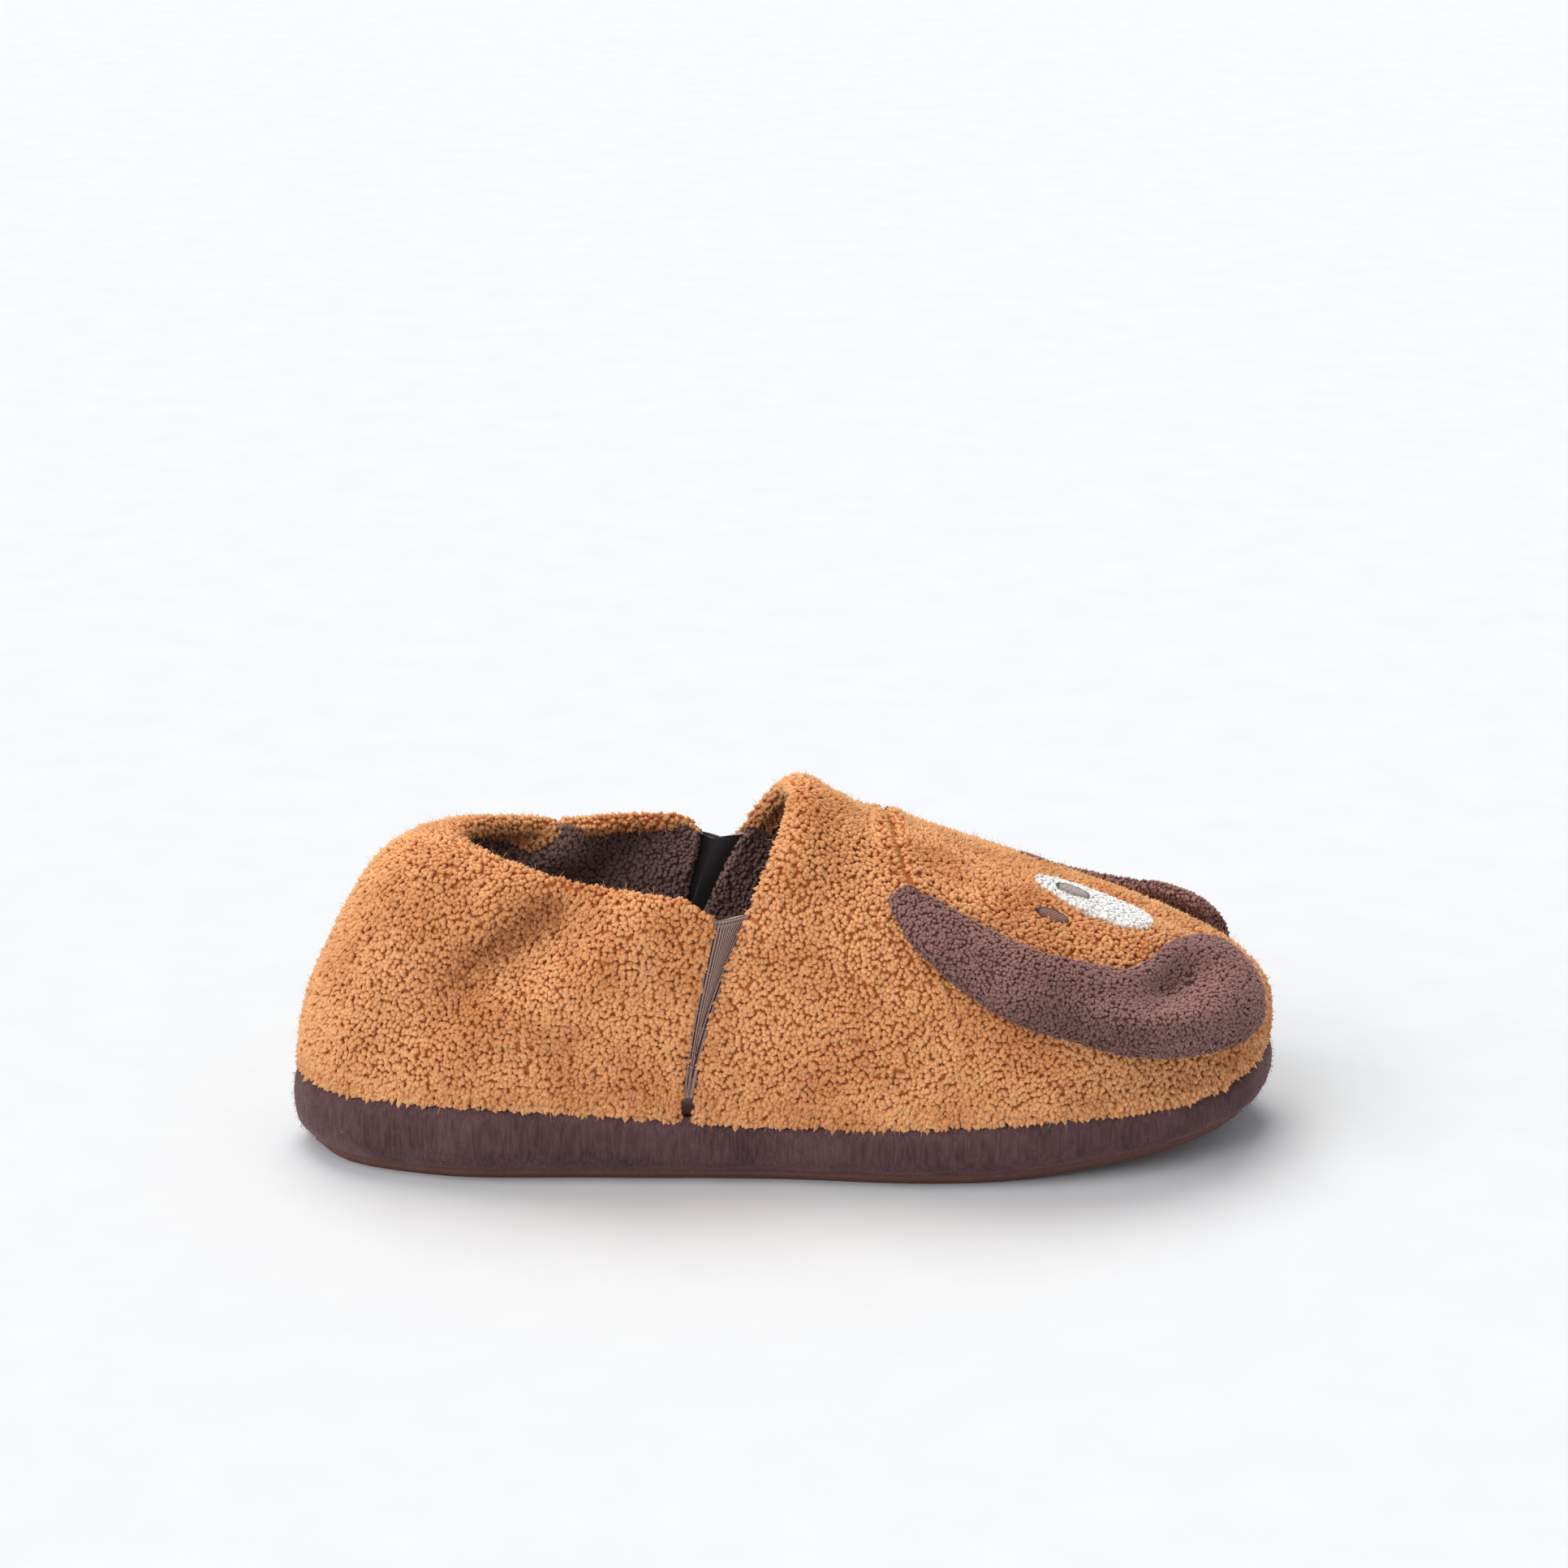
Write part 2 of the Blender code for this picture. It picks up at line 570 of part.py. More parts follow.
def build_ear(tree, side, table, name, collection):
    """A padded ear that hangs from the seam along the side of the toe: flattened rings laid on the upper."""
    share = np.linspace(0, 1, len(table))
    at = 1 - (1 - np.linspace(0, 1, EAR_STATIONS)) ** 1.15
    along, out, up, width, thick = (smooth_between(share, np.array(table)[:, k], at) for k in range(5))
    middle = np.column_stack([(along - 0.5) * SHOE_LENGTH, side * out * BALL_WIDTH, up * INSTEP_HEIGHT])
    laid = []
    for place in middle:
        point, normal, _, _ = tree.find_nearest(Vector(place))
        laid.append((point, outward_of(point, normal)))
    points, faces = [], []
    for k, (point, normal) in enumerate(laid):
        ahead = laid[min(k + 1, len(laid) - 1)][0] - laid[max(k - 1, 0)][0]
        across = normal.cross(ahead.normalized()).normalized() * side
        half = width[k] * EAR_WIDTH / 2
        depth = thick[k] * EAR_THICKNESS
        for n in range(EAR_RING):
            angle = 2 * math.pi * n / EAR_RING
            spot, out_of, _, _ = tree.find_nearest(point + across * (half * math.cos(angle)))
            swell = math.copysign(abs(math.sin(angle)) ** 0.75, math.sin(angle)) * depth / 2
            height = EAR_CLEARANCE + depth / 2 + swell
            points.append(spot + outward_of(spot, out_of) * height)
    for k in range(EAR_STATIONS - 1):
        for n in range(EAR_RING):
            here, there = k * EAR_RING + n, k * EAR_RING + (n + 1) % EAR_RING
            faces.append([here, there, there + EAR_RING, here + EAR_RING])
    faces.append(list(range(EAR_RING))[::-1])
    faces.append([(EAR_STATIONS - 1) * EAR_RING + n for n in range(EAR_RING)])
    if side == LATERAL:
        faces = [face[::-1] for face in faces]
    return add_object(name, np.array(points), faces, PLUSH_COCOA, collection)


def build_pad(tree, name, place, size, taper, lift, thickness, finish, collection):
    """A thin oval pad laid on the crown of the toe: rings round its middle, dropped on to the upper."""
    centre = np.array([(place[0] - 0.5) * SHOE_LENGTH, place[1]])
    rings = np.linspace(0, 1, PAD_RINGS + 1)[1:]
    spots = [(0.0, 0.0)]
    for ring in rings:
        for k in range(PAD_SECTORS):
            angle = 2 * math.pi * k / PAD_SECTORS
            narrowing = 1 + taper * (math.cos(angle) - 1) / 2
            spots.append((ring * math.cos(angle) * size[0] / 2, ring * math.sin(angle) * narrowing * size[1] / 2))
    under, over = [], []
    for k, (x, y) in enumerate(spots):
        drop = Vector((centre[0] + x, centre[1] + y, INSTEP_HEIGHT * 2))
        point, normal, _, _ = tree.ray_cast(drop, Vector((0, 0, -1)))
        normal = outward_of(point, normal)
        ring = 0 if k == 0 else rings[(k - 1) // PAD_SECTORS]
        under.append(point + normal * lift)
        over.append(point + normal * (lift + thickness * (1 - 0.45 * ring**4)))
    count = len(spots)
    faces = []
    for k in range(PAD_SECTORS):
        onward = (k + 1) % PAD_SECTORS
        faces.append([0, 1 + k, 1 + onward])
        for ring in range(PAD_RINGS - 1):
            low, high = 1 + ring * PAD_SECTORS, 1 + (ring + 1) * PAD_SECTORS
            faces.append([low + k, high + k, high + onward, low + onward])
    lower = [[c for c in face[::-1]] for face in faces]
    upper_faces = [[c + count for c in face] for face in faces]
    edge = 1 + (PAD_RINGS - 1) * PAD_SECTORS
    wall = []
    for k in range(PAD_SECTORS):
        onward = (k + 1) % PAD_SECTORS
        wall.append([edge + k, edge + onward, edge + onward + count, edge + k + count])
    return add_object(name, np.array(under + over), lower + upper_faces + wall, finish, collection)


def build_face(tree, collection):
    """White muzzle with the nose stitched on it, and an eye on each side."""
    muzzle = (MUZZLE_AT[0], MUZZLE_AT[1] * BALL_WIDTH)
    size = (MUZZLE_LENGTH, MUZZLE_WIDTH)
    build_pad(tree, "muzzle", muzzle, size, MUZZLE_TAPER, SOFT_CLEARANCE, MUZZLE_THICKNESS, PLUSH_WHITE, collection)
    nose = (NOSE_AT[0], NOSE_AT[1] * BALL_WIDTH)
    above = SOFT_CLEARANCE + MUZZLE_THICKNESS + CLEARANCE
    size = (NOSE_LENGTH, NOSE_WIDTH)
    build_pad(tree, "nose", nose, size, 0, above, EMBROIDERY_THICKNESS, THREAD_DARK, collection)
    for side, name in ((LATERAL, "eye_outer"), (MEDIAL, "eye_inner")):
        eye = (EYES_AT[0], EYES_AT[1] * BALL_WIDTH + side * EYE_SPACING / 2)
        size = (EYE_LENGTH, EYE_WIDTH)
        build_pad(tree, name, eye, size, 0, SOFT_CLEARANCE, EMBROIDERY_THICKNESS, THREAD_DARK, collection)


def main():
    """Clears the scene and builds every piece of the slipper."""
    for old in list(bpy.data.objects):
        bpy.data.objects.remove(old)
    collection = bpy.data.collections.new("dog_slipper")
    bpy.context.scene.collection.children.link(collection)
    outline = Outline(OUTLINE)
    upper = Upper(outline)
    build_outsole(outline, collection)
    build_midsole(outline, collection)
    build_insole(outline, collection)
    build_upper(upper, collection)
    build_gore(upper, LATERAL, "elastic_gore_outer", collection)
    build_gore(upper, MEDIAL, "elastic_gore_inner", collection)
    tree = drape_tree(upper)
    build_ear(tree, LATERAL, EAR_OUTER, "ear_outer", collection)
    build_ear(tree, MEDIAL, EAR_INNER, "ear_inner", collection)
    build_face(tree, collection)


main()
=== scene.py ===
"""Looks of a child's plush animal slipper, right foot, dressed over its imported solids.

The frame is the part's own: metres, heel to toe along +X, inner side of the foot +Y, up +Z, the floor at 0
and the middle of the length at 0. Every surface is a function of two shares on a grid, worked out as whole
arrays. The pile is made of small leaning tufts, joined into one mesh with the ground of each panel.
"""

import logging
import math
from dataclasses import dataclass, field
from enum import Enum
from typing import Any, Callable, Mapping, Sequence

import bpy
import numpy as np
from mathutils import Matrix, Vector


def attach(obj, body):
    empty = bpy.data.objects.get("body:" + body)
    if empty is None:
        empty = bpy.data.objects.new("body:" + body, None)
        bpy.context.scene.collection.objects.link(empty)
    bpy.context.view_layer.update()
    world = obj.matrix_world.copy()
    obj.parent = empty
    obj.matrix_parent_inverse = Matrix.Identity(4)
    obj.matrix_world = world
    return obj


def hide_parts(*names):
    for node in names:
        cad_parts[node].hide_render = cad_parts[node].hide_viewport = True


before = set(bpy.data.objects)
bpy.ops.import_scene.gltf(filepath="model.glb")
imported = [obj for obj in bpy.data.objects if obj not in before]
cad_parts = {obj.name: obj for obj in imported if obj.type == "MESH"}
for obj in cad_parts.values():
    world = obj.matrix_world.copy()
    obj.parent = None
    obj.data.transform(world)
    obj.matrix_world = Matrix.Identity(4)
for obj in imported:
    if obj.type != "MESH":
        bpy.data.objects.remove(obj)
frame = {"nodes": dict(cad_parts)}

Array = np.ndarray
Table = tuple[tuple[float, ...], ...]
log = logging.getLogger("slipper")


class Side(Enum):
    """Side of the foot; the value is the sign of Y."""

    OUTER = -1
    INNER = 1


@dataclass(frozen=True)
class ShoeSizes:
    """Named sizes of the slipper, in metres."""

    length: float = 0.200
    ball_width: float = 0.076
    sole_height: float = 0.0133
    toe_spring: float = 0.0055
    heel_height: float = 0.0665
    instep_height: float = 0.0736
    outsole: float = 0.0024
    insole: float = 0.0030
    wall: float = 0.0030
    inset: float = 0.0009
    side_bulge: float = 0.0022
    heel_slope: float = 0.0056
    rib_sweep: float = 1.5
    slit_at_foot: float = 0.0010
    seam_depth: float = 0.0012
    seam_lip: float = 0.0008
    seam_half_width: float = 0.0014
    seam_foot: float = 0.660
    seam_rise: float = 0.56
    clearance: float = 0.0003


SIZES = ShoeSizes()

# Rows of points round a free edge, and rings and steps of a stitched or plush pad
RIM_ROWS = 8
PAD_RINGS = 17
PAD_STEPS = 64

# Sole's outline. Columns: along, out (shares of length and ball width), round from the heel by the outer side
OUTLINE: Table = (
    (0.000, 0.000), (0.035, -0.215), (0.130, -0.350), (0.300, -0.402), (0.470, -0.437), (0.640, -0.500),
    (0.780, -0.480), (0.900, -0.372), (0.973, -0.185), (1.000, 0.045), (0.974, 0.245), (0.900, 0.400),
    (0.770, 0.494), (0.630, 0.484), (0.470, 0.415), (0.300, 0.390), (0.130, 0.340), (0.035, 0.212),
)
# Side of the padded sole. Columns: inset (share of the sole's height), height (0 outsole, 1 seam)
SOLE_SECTION: Table = (
    (0.190, 0.00), (0.085, 0.12), (0.020, 0.30), (0.000, 0.56), (0.015, 0.80), (0.070, 0.94), (0.160, 1.00),
)
# Sole from the side. Columns: along, thickness, spring (shares)
SOLE_SIDE: Table = (
    (0.00, 1.18, 0.00), (0.10, 1.22, 0.00), (0.20, 1.20, 0.00), (0.32, 1.09, 0.00), (0.44, 0.95, 0.00),
    (0.56, 0.94, 0.00), (0.68, 1.00, 0.00), (0.76, 0.95, 0.22), (0.84, 0.84, 0.46), (0.92, 0.78, 0.72),
    (1.00, 0.93, 1.00),
)
# Collar. Columns: round, along, out, up, squareness, puff, slope
COLLAR: Table = (
    (0.00, 0.183, 0.000, 0.982, 2.50, 1.00, 1.00),
    (0.20, 0.194, 0.095, 0.970, 2.45, 0.90, 0.80),
    (0.40, 0.230, 0.195, 0.943, 2.40, 0.90, 0.40),
    (0.60, 0.290, 0.285, 0.908, 2.45, 1.00, 0.10),
    (0.80, 0.360, 0.362, 0.893, 2.60, 1.00, 0.00),
    (0.93, 0.404, 0.398, 0.871, 2.80, 0.90, 0.00),
    (1.00, 0.422, 0.401, 0.833, 2.90, 0.80, 0.00),
)
COLLAR_REACH = {Side.OUTER: 1.0, Side.INNER: 0.955}
# Ridge of the instep. Columns: foot, along, up, out, squareness
RIDGE: Table = (
    (0.390, 0.500, 0.973, 0.000, 2.50),
    (0.440, 0.518, 1.000, 0.000, 2.50),
    (0.520, 0.556, 0.951, 0.002, 2.45),
    (0.600, 0.584, 0.907, 0.006, 2.40),
    (0.660, 0.604, 0.892, 0.010, 2.35),
    (0.750, 0.702, 0.781, 0.018, 2.30),
    (0.850, 0.796, 0.675, 0.022, 2.25),
    (0.930, 0.872, 0.582, 0.026, 2.25),
    (1.000, 0.944, 0.482, 0.030, 2.30),
)
# Soft folds of the heel. Columns: start along, start up, end along, end up, half width in metres, and depth
# as a share of the wall, below 0 for a trough
FOLDS: Table = (
    (0.262, 0.800, 0.120, 0.520, 0.0060, -1.30),
    (0.330, 0.760, 0.170, 0.470, 0.0075, 0.55),
)
# Ears from root to tip. Columns: along, out, up (share of the instep's height), width, thickness
EAR_OUTER: Table = (
    (0.5980, 0.325, 0.780, 0.200, 0.45),
    (0.6130, 0.352, 0.738, 0.320, 0.75),
    (0.6340, 0.386, 0.684, 0.430, 0.95),
    (0.6800, 0.420, 0.604, 0.520, 1.05),
    (0.7230, 0.432, 0.543, 0.570, 1.10),
    (0.7770, 0.426, 0.496, 0.600, 1.10),
    (0.8250, 0.400, 0.458, 0.665, 1.05),
    (0.8600, 0.354, 0.451, 0.790, 1.00),
    (0.8920, 0.292, 0.454, 0.930, 0.95),
    (0.9220, 0.226, 0.453, 0.930, 0.90),
    (0.9440, 0.172, 0.446, 0.730, 0.85),
    (0.9550, 0.135, 0.437, 0.350, 0.60),
)
EAR_INNER: Table = (
    (0.5980, 0.325, 0.780, 0.180, 0.45),
    (0.6120, 0.350, 0.738, 0.290, 0.75),
    (0.6320, 0.385, 0.678, 0.370, 0.95),
    (0.6750, 0.412, 0.608, 0.420, 1.00),
    (0.7150, 0.423, 0.556, 0.440, 1.00),
    (0.7650, 0.420, 0.520, 0.480, 1.00),
    (0.8100, 0.403, 0.481, 0.550, 1.00),
    (0.8480, 0.380, 0.450, 0.680, 1.00),
    (0.8800, 0.352, 0.438, 0.820, 1.00),
    (0.9100, 0.306, 0.440, 0.900, 1.00),
    (0.9350, 0.256, 0.436, 0.760, 0.95),
    (0.9460, 0.225, 0.432, 0.420, 0.75),
)


# Numbers and curves


def linear(colour: str) -> tuple[float, float, float, float]:
    """Linear colour of an sRGB hex value.

    Args:
        colour: six hex digits with a leading #.

    Returns:
        Red, green, blue and an alpha of 1.
    """
    shares = [int(colour[k : k + 2], 16) / 255 for k in (1, 3, 5)]
    red, green, blue = (s / 12.92 if s <= 0.04045 else ((s + 0.055) / 1.055) ** 2.4 for s in shares)
    return red, green, blue, 1.0


def smooth_between(knots: Array, values: Array, at: Array) -> Array:
    """Smooth curve through values: cubic pieces whose slopes are the mean of the steps on each side.

    Args:
        knots: places of the values, rising.
        values: the values there.
        at: places to read.

    Returns:
        The curve at those places.
    """
    steps = np.diff(knots)
    chords = np.diff(values) / steps
    slopes = np.concatenate([chords[:1], np.zeros(len(knots) - 2), chords[-1:]])
    slopes[1:-1] = (chords[:-1] * steps[1:] + chords[1:] * steps[:-1]) / (steps[:-1] + steps[1:])
    piece = np.clip(np.searchsorted(knots, at, side="right") - 1, 0, len(steps) - 1)
    t = (at - knots[piece]) / steps[piece]
    start = values[piece] * (2 * t**3 - 3 * t**2 + 1) + slopes[piece] * steps[piece] * (t**3 - 2 * t**2 + t)
    end = values[piece + 1] * (3 * t**2 - 2 * t**3) + slopes[piece + 1] * steps[piece] * (t**3 - t**2)
    return start + end


def from_table(rows: Table, column: int, at: Array) -> Array:
    """A column of a table as a smooth curve over its first column."""
    table = np.array(rows)
    return smooth_between(table[:, 0], table[:, column], np.asarray(at, float))


def smooth_step(low: float, high: float, at: Array) -> Array:
    """0 before low, 1 after high, and 3t^2 - 2t^3 between."""
    t = np.clip((at - low) / (high - low), 0, 1)
    return t * t * (3 - 2 * t)


def unit(vectors: Array) -> Array:
    """Vectors brought to length 1, and left at 0 where they have none."""
    size = np.linalg.norm(vectors, axis=-1, keepdims=True)
    return vectors / np.maximum(size, 1e-12)


def ripple(points: Array, size: float, seed: int) -> Array:
    """Smooth unevenness between about -1 and 1: a sum of eight plane waves in random directions.

    Args:
        points: places in space.
        size: length of the longest wave, in metres.
        seed: start of the random numbers.

    Returns:
        One value for each place.
    """
    rng = np.random.default_rng(seed)
    ways = unit(rng.normal(size=(8, 3))) * (2 * math.pi / size) * rng.uniform(0.8, 2.2, (8, 1))
    return np.sin(points @ ways.T + rng.uniform(0, 6.28, 8)).sum(axis=1) / 3.2


# Skins and meshes


@dataclass
class Skin:
    """A surface: points, faces of four corners, normals, and the way that pile lies at each point."""

    points: Array
    faces: Array
    normals: Array
    flow: Array

    @classmethod
    def from_grid(cls, grid: Array, around: bool = False, outward: Array | None = None) -> "Skin":
        """Skin of a grid of points.

        Args:
            grid: points, rows by columns by 3.
            around: whether the columns close into a ring.
            outward: a point inside the form, which the faces turn their backs to.

        Returns:
            The skin, with its pile lying straight down.
        """
        rows, columns = grid.shape[:2]
        index = np.arange(rows * columns).reshape(rows, columns)
        onward = np.roll(index, -1, axis=1) if around else index[:, 1:]
        here = index if around else index[:, :-1]
        faces = np.stack([here[:-1], onward[:-1], onward[1:], here[1:]], axis=-1).reshape(-1, 4)
        points = grid.reshape(-1, 3)
        normals = vertex_normals(points, faces)
        if outward is not None and np.sum(normals * (points - outward)) < 0:
            faces, normals = faces[:, ::-1], -normals
        return cls(points, faces, normals, np.tile((0.0, 0.0, -1.0), (len(points), 1)))

    def shifted(self, distance: float) -> "Skin":
        """The skin moved along its normals."""
        return Skin(self.points + self.normals * distance, self.faces, self.normals, self.flow)

    def turned(self) -> "Skin":
        """The skin seen from its other side."""
        return Skin(self.points, self.faces[:, ::-1], -self.normals, self.flow)

    def kept(self, wanted: Array) -> "Skin":
        """The faces whose corners are all wanted.

        Args:
            wanted: one truth value for each point.

        Returns:
            A skin of those faces and their points.
        """
        faces = self.faces[wanted[self.faces].all(axis=1)]
        used, packed = np.unique(faces, return_inverse=True)
        return Skin(self.points[used], packed.reshape(-1, 4), self.normals[used], self.flow[used])

    def scatter(self, pitch: float, rng: np.random.Generator) -> tuple[Array, Array, Array]:
        """Places spread evenly over the skin.

        Many places are thrown in proportion to area, space is cut into turned cells of about the pitch, and
        the first place in each cell stays.

        Args:
            pitch: distance between places, in metres.
            rng: random numbers.

        Returns:
            The places, and the normals and flow there.
        """
        corners = np.vstack([self.faces[:, [0, 1, 2]], self.faces[:, [0, 2, 3]]])
        a, b, c = (self.points[corners[:, k]] for k in range(3))
        area = np.linalg.norm(np.cross(b - a, c - a), axis=1) / 2
        reach = np.cumsum(area)
        thrown = int(reach[-1] / pitch**2 * 7)
        pick = np.minimum(np.searchsorted(reach, rng.random(thrown) * reach[-1]), len(reach) - 1)
        u, v = rng.random((2, thrown))
        over = u + v > 1
        u[over], v[over] = 1 - u[over], 1 - v[over]
        weights = np.stack([1 - u - v, u, v], axis=1)[:, :, None]
        places = (self.points[corners[pick]] * weights).sum(axis=1)
        turn, _ = np.linalg.qr(rng.normal(size=(3, 3)))
        cells = np.floor(places @ turn / (pitch * 1.08)).astype(np.int64)
        key = (cells[:, 0] * 73856093) ^ (cells[:, 1] * 19349663) ^ (cells[:, 2] * 83492791)
        first = np.unique(key, return_index=True)[1]
        normals = unit((self.normals[corners[pick[first]]] * weights[first]).sum(axis=1))
        flow = (self.flow[corners[pick[first]]] * weights[first]).sum(axis=1)
        return places[first], normals, flow


def vertex_normals(points: Array, faces: Array) -> Array:
    """Unit normals of points: the sum of the crossed diagonals of the faces round each."""
    a, b, c, d = (points[faces[:, k]] for k in range(4))
    crossed = np.cross(c - a, d - b)
    normals = np.zeros_like(points)
    for k in range(4):
        np.add.at(normals, faces[:, k], crossed)
    return unit(normals)


@dataclass
class MeshParts:
    """Points, triangles and shading values that are joined into one mesh."""

    points: list[Array] = field(default_factory=list)
    triangles: list[Array] = field(default_factory=list)
    values: dict[str, list[Array]] = field(default_factory=lambda: {"pile_height": [], "pile_tone": []})

    def add(self, points: Array, triangles: Array, height: Array, tone: Array) -> None:
        """Adds a set of triangles with their pile height (0 root, 1 tip) and tone."""
        start = sum(len(p) for p in self.points)
        self.points.append(points)
        self.triangles.append(triangles + start)
        self.values["pile_height"].append(height)
        self.values["pile_tone"].append(tone)

    def add_skin(self, skin: Skin, height: float | Array = 0.2) -> None:
        """Adds a skin as the ground that pile grows on, shaded as that height of the pile."""
        triangles = np.vstack([skin.faces[:, [0, 1, 2]], skin.faces[:, [0, 2, 3]]])
        a, b, c = (skin.points[triangles[:, k]] for k in range(3))
        whole = np.linalg.norm(np.cross(b - a, c - a), axis=1) > 1e-13
        count = len(skin.points)
        self.add(skin.points, triangles[whole], np.zeros(count) + height, np.full(count, 0.5))

    def build(self, name: str, material: bpy.types.Material) -> bpy.types.Object:
        """Makes the mesh object.

        Args:
            name: name of the object.
            material: its only material.

        Returns:
            The object, linked to the scene, smooth shaded.
        """
        points, triangles = np.vstack(self.points), np.vstack(self.triangles)
        used, packed = np.unique(triangles, return_inverse=True)
        points, triangles = points[used], packed.reshape(-1, 3)
        mesh = bpy.data.meshes.new(name)
        mesh.vertices.add(len(points))
        mesh.vertices.foreach_set("co", points.astype(np.float32).ravel())
        mesh.loops.add(triangles.size)
        mesh.loops.foreach_set("vertex_index", triangles.astype(np.int32).ravel())
        mesh.polygons.add(len(triangles))
        mesh.polygons.foreach_set("loop_start", np.arange(0, triangles.size, 3, dtype=np.int32))
        mesh.update(calc_edges=True)
        for key, lists in self.values.items():
            layer = mesh.attributes.new(key, "FLOAT", "POINT")
            layer.data.foreach_set("value", np.concatenate(lists)[used].astype(np.float32))
        mesh.validate()
        mesh.shade_smooth()
        mesh.materials.append(material)
        obj = bpy.data.objects.new(name, mesh)
        bpy.context.scene.collection.objects.link(obj)
        return obj


Shade = Callable[[Array, Array], Array]


@dataclass(frozen=True)
class Pile:
    """How a plush grows.

    Attributes:
        pitch: distance between tufts.
        length: length of a tuft.
        width: width of a tuft at its widest.
        lean: angle from upright, in radians.
        ruffle: how unruly the tufts are, 0 to 1.
    """

    pitch: float
    length: float
    width: float
    lean: float = 0.75
    ruffle: float = 0.35

    def grow(self, skin: Skin, parts: MeshParts, seed: int, toned: Shade | None = None) -> int:
        """Grows tufts on a skin: each is a four-sided bud, bent over along the flow.

        It widens from a point below the skin to a ring half way up, and closes at a tip. The ring is shifted
        by 0.45 of the lean; the tip stands at the length times the cosine of the lean, shifted by its sine.

        Args:
            skin: ground of the pile.
            parts: mesh that takes the tufts.
            seed: start of the random numbers.
            toned: painted shade and light, as how much lighter or darker the pile is, from its places and
                normals.

        Returns:
            How many tufts were grown.
        """
        rng = np.random.default_rng(seed)
        roots, normals, flow = skin.scatter(self.pitch, rng)
        count = len(roots)
        flow = unit(flow) + 0.45 * np.stack([ripple(roots, 0.022, seed + k) for k in range(3)], axis=1)
        flow += rng.normal(size=(count, 3)) * self.ruffle
        lie_way = unit(flow - normals * np.sum(flow * normals, axis=1, keepdims=True))
        side_way = np.cross(normals, lie_way)
        lean = self.lean * rng.uniform(0.55, 1.3, count)
        length = self.length * rng.uniform(0.78, 1.22, count)
        stand, lie = length * np.cos(lean), length * np.sin(lean)
        width = self.width * rng.uniform(0.8, 1.2, count)
        turn = rng.uniform(0, 6.28, (count, 1)) + np.arange(4) * math.pi / 2
        ring = np.cos(turn)[:, :, None] * lie_way[:, None] + np.sin(turn)[:, :, None] * side_way[:, None]
        ring *= width[:, None, None] / 2
        root = roots - normals * self.length * 0.35
        waist = roots + normals * (stand * 0.52)[:, None] + lie_way * (lie * 0.45)[:, None]
        tip = roots + normals * stand[:, None] + lie_way * lie[:, None]
        points = np.concatenate([root[:, None], waist[:, None] + ring, tip[:, None]], axis=1)
        k = np.arange(4)
        onward = (k + 1) % 4
        pattern = np.vstack([
            np.stack([0 * k, onward + 1, k + 1], axis=1),
            np.stack([k + 1, onward + 1, np.full(4, 5)], axis=1),
        ])
        triangles = (np.arange(count)[:, None, None] * 6 + pattern).reshape(-1, 3)
        height = np.tile([0, 0.55, 0.55, 0.55, 0.55, 1.0], count)
        tone = rng.random(count)
        # A random tone for each tuft, plus the painted shade and light of toned
        if toned is not None:
            tone = tone + toned(roots, normals)
        tone = np.repeat(tone, 6)
        parts.add(points.reshape(-1, 3), triangles, height, tone)
        return count


@dataclass(frozen=True)
class Fuzz:
    """Loose fibres: thin blades of two triangles that break a soft silhouette."""

    pitch: float
    length: float
    width: float
    lean: float = 0.5

    def grow(self, skin: Skin, parts: MeshParts, seed: int) -> int:
        """Grows fibres on a skin, each a narrow kite bent along the flow.

        Args:
            skin: ground of the fibres.
            parts: mesh that takes them.
            seed: start of the random numbers.

        Returns:
            How many fibres were grown.
        """
        rng = np.random.default_rng(seed)
        roots, normals, flow = skin.scatter(self.pitch, rng)
        count = len(roots)
        flow = unit(flow) + rng.normal(size=(count, 3)) * 0.8
        lie_way = unit(flow - normals * np.sum(flow * normals, axis=1, keepdims=True))
        side_way = np.cross(normals, lie_way)
        length = self.length * rng.uniform(0.5, 1.4, (count, 1))
        lean = self.lean * rng.uniform(0.3, 1.6, (count, 1))
        half = self.width / 2
        middle = roots + normals * length * 0.55 * np.cos(lean * 0.5)
        middle = middle + lie_way * length * 0.5 * np.sin(lean * 0.5)
        tip = roots + normals * length * np.cos(lean) + lie_way * length * np.sin(lean)
        points = np.stack([roots, middle - side_way * half, middle + side_way * half, tip], axis=1)
        triangles = (np.arange(count)[:, None, None] * 4 + np.array([[0, 1, 2], [1, 3, 2]])).reshape(-1, 3)
        height, tone = np.tile([0.3, 0.7, 0.7, 1.0], count), np.repeat(rng.random(count), 4)
        parts.add(points.reshape(-1, 3), triangles, height, tone)
        return count


# Finishes

Link = tuple[bpy.types.Node, str | int]


def add_node(
    tree: bpy.types.NodeTree,
    kind: str,
    settings: Mapping[str | int, Any] | None = None,
    links: Mapping[str | int, Link] | None = None,
) -> bpy.types.Node:
    """Adds a node with its settings and links.

    Args:
        tree: node tree that takes it.
        kind: type of the node.
        settings: values of its properties, or of its input sockets by name or number.
        links: for an input socket, the node and the output that feed it.

    Returns:
        The node.
    """
    node = tree.nodes.new(kind)
    for key, value in (settings or {}).items():
        if isinstance(key, str) and key in node.bl_rna.properties:
            setattr(node, key, value)
        else:
            node.inputs[key].default_value = value
    for key, (source, output) in (links or {}).items():
        tree.links.new(source.outputs[output], node.inputs[key])
    return node


def new_material(name: str) -> tuple[bpy.types.Material, bpy.types.NodeTree, bpy.types.Node]:
    """An empty material, its tree, and the node that gives places on the object."""
    material = bpy.data.materials.new(name)
    material.use_nodes = True
    material.node_tree.nodes.clear()
    return material, material.node_tree, add_node(material.node_tree, "ShaderNodeTexCoord")


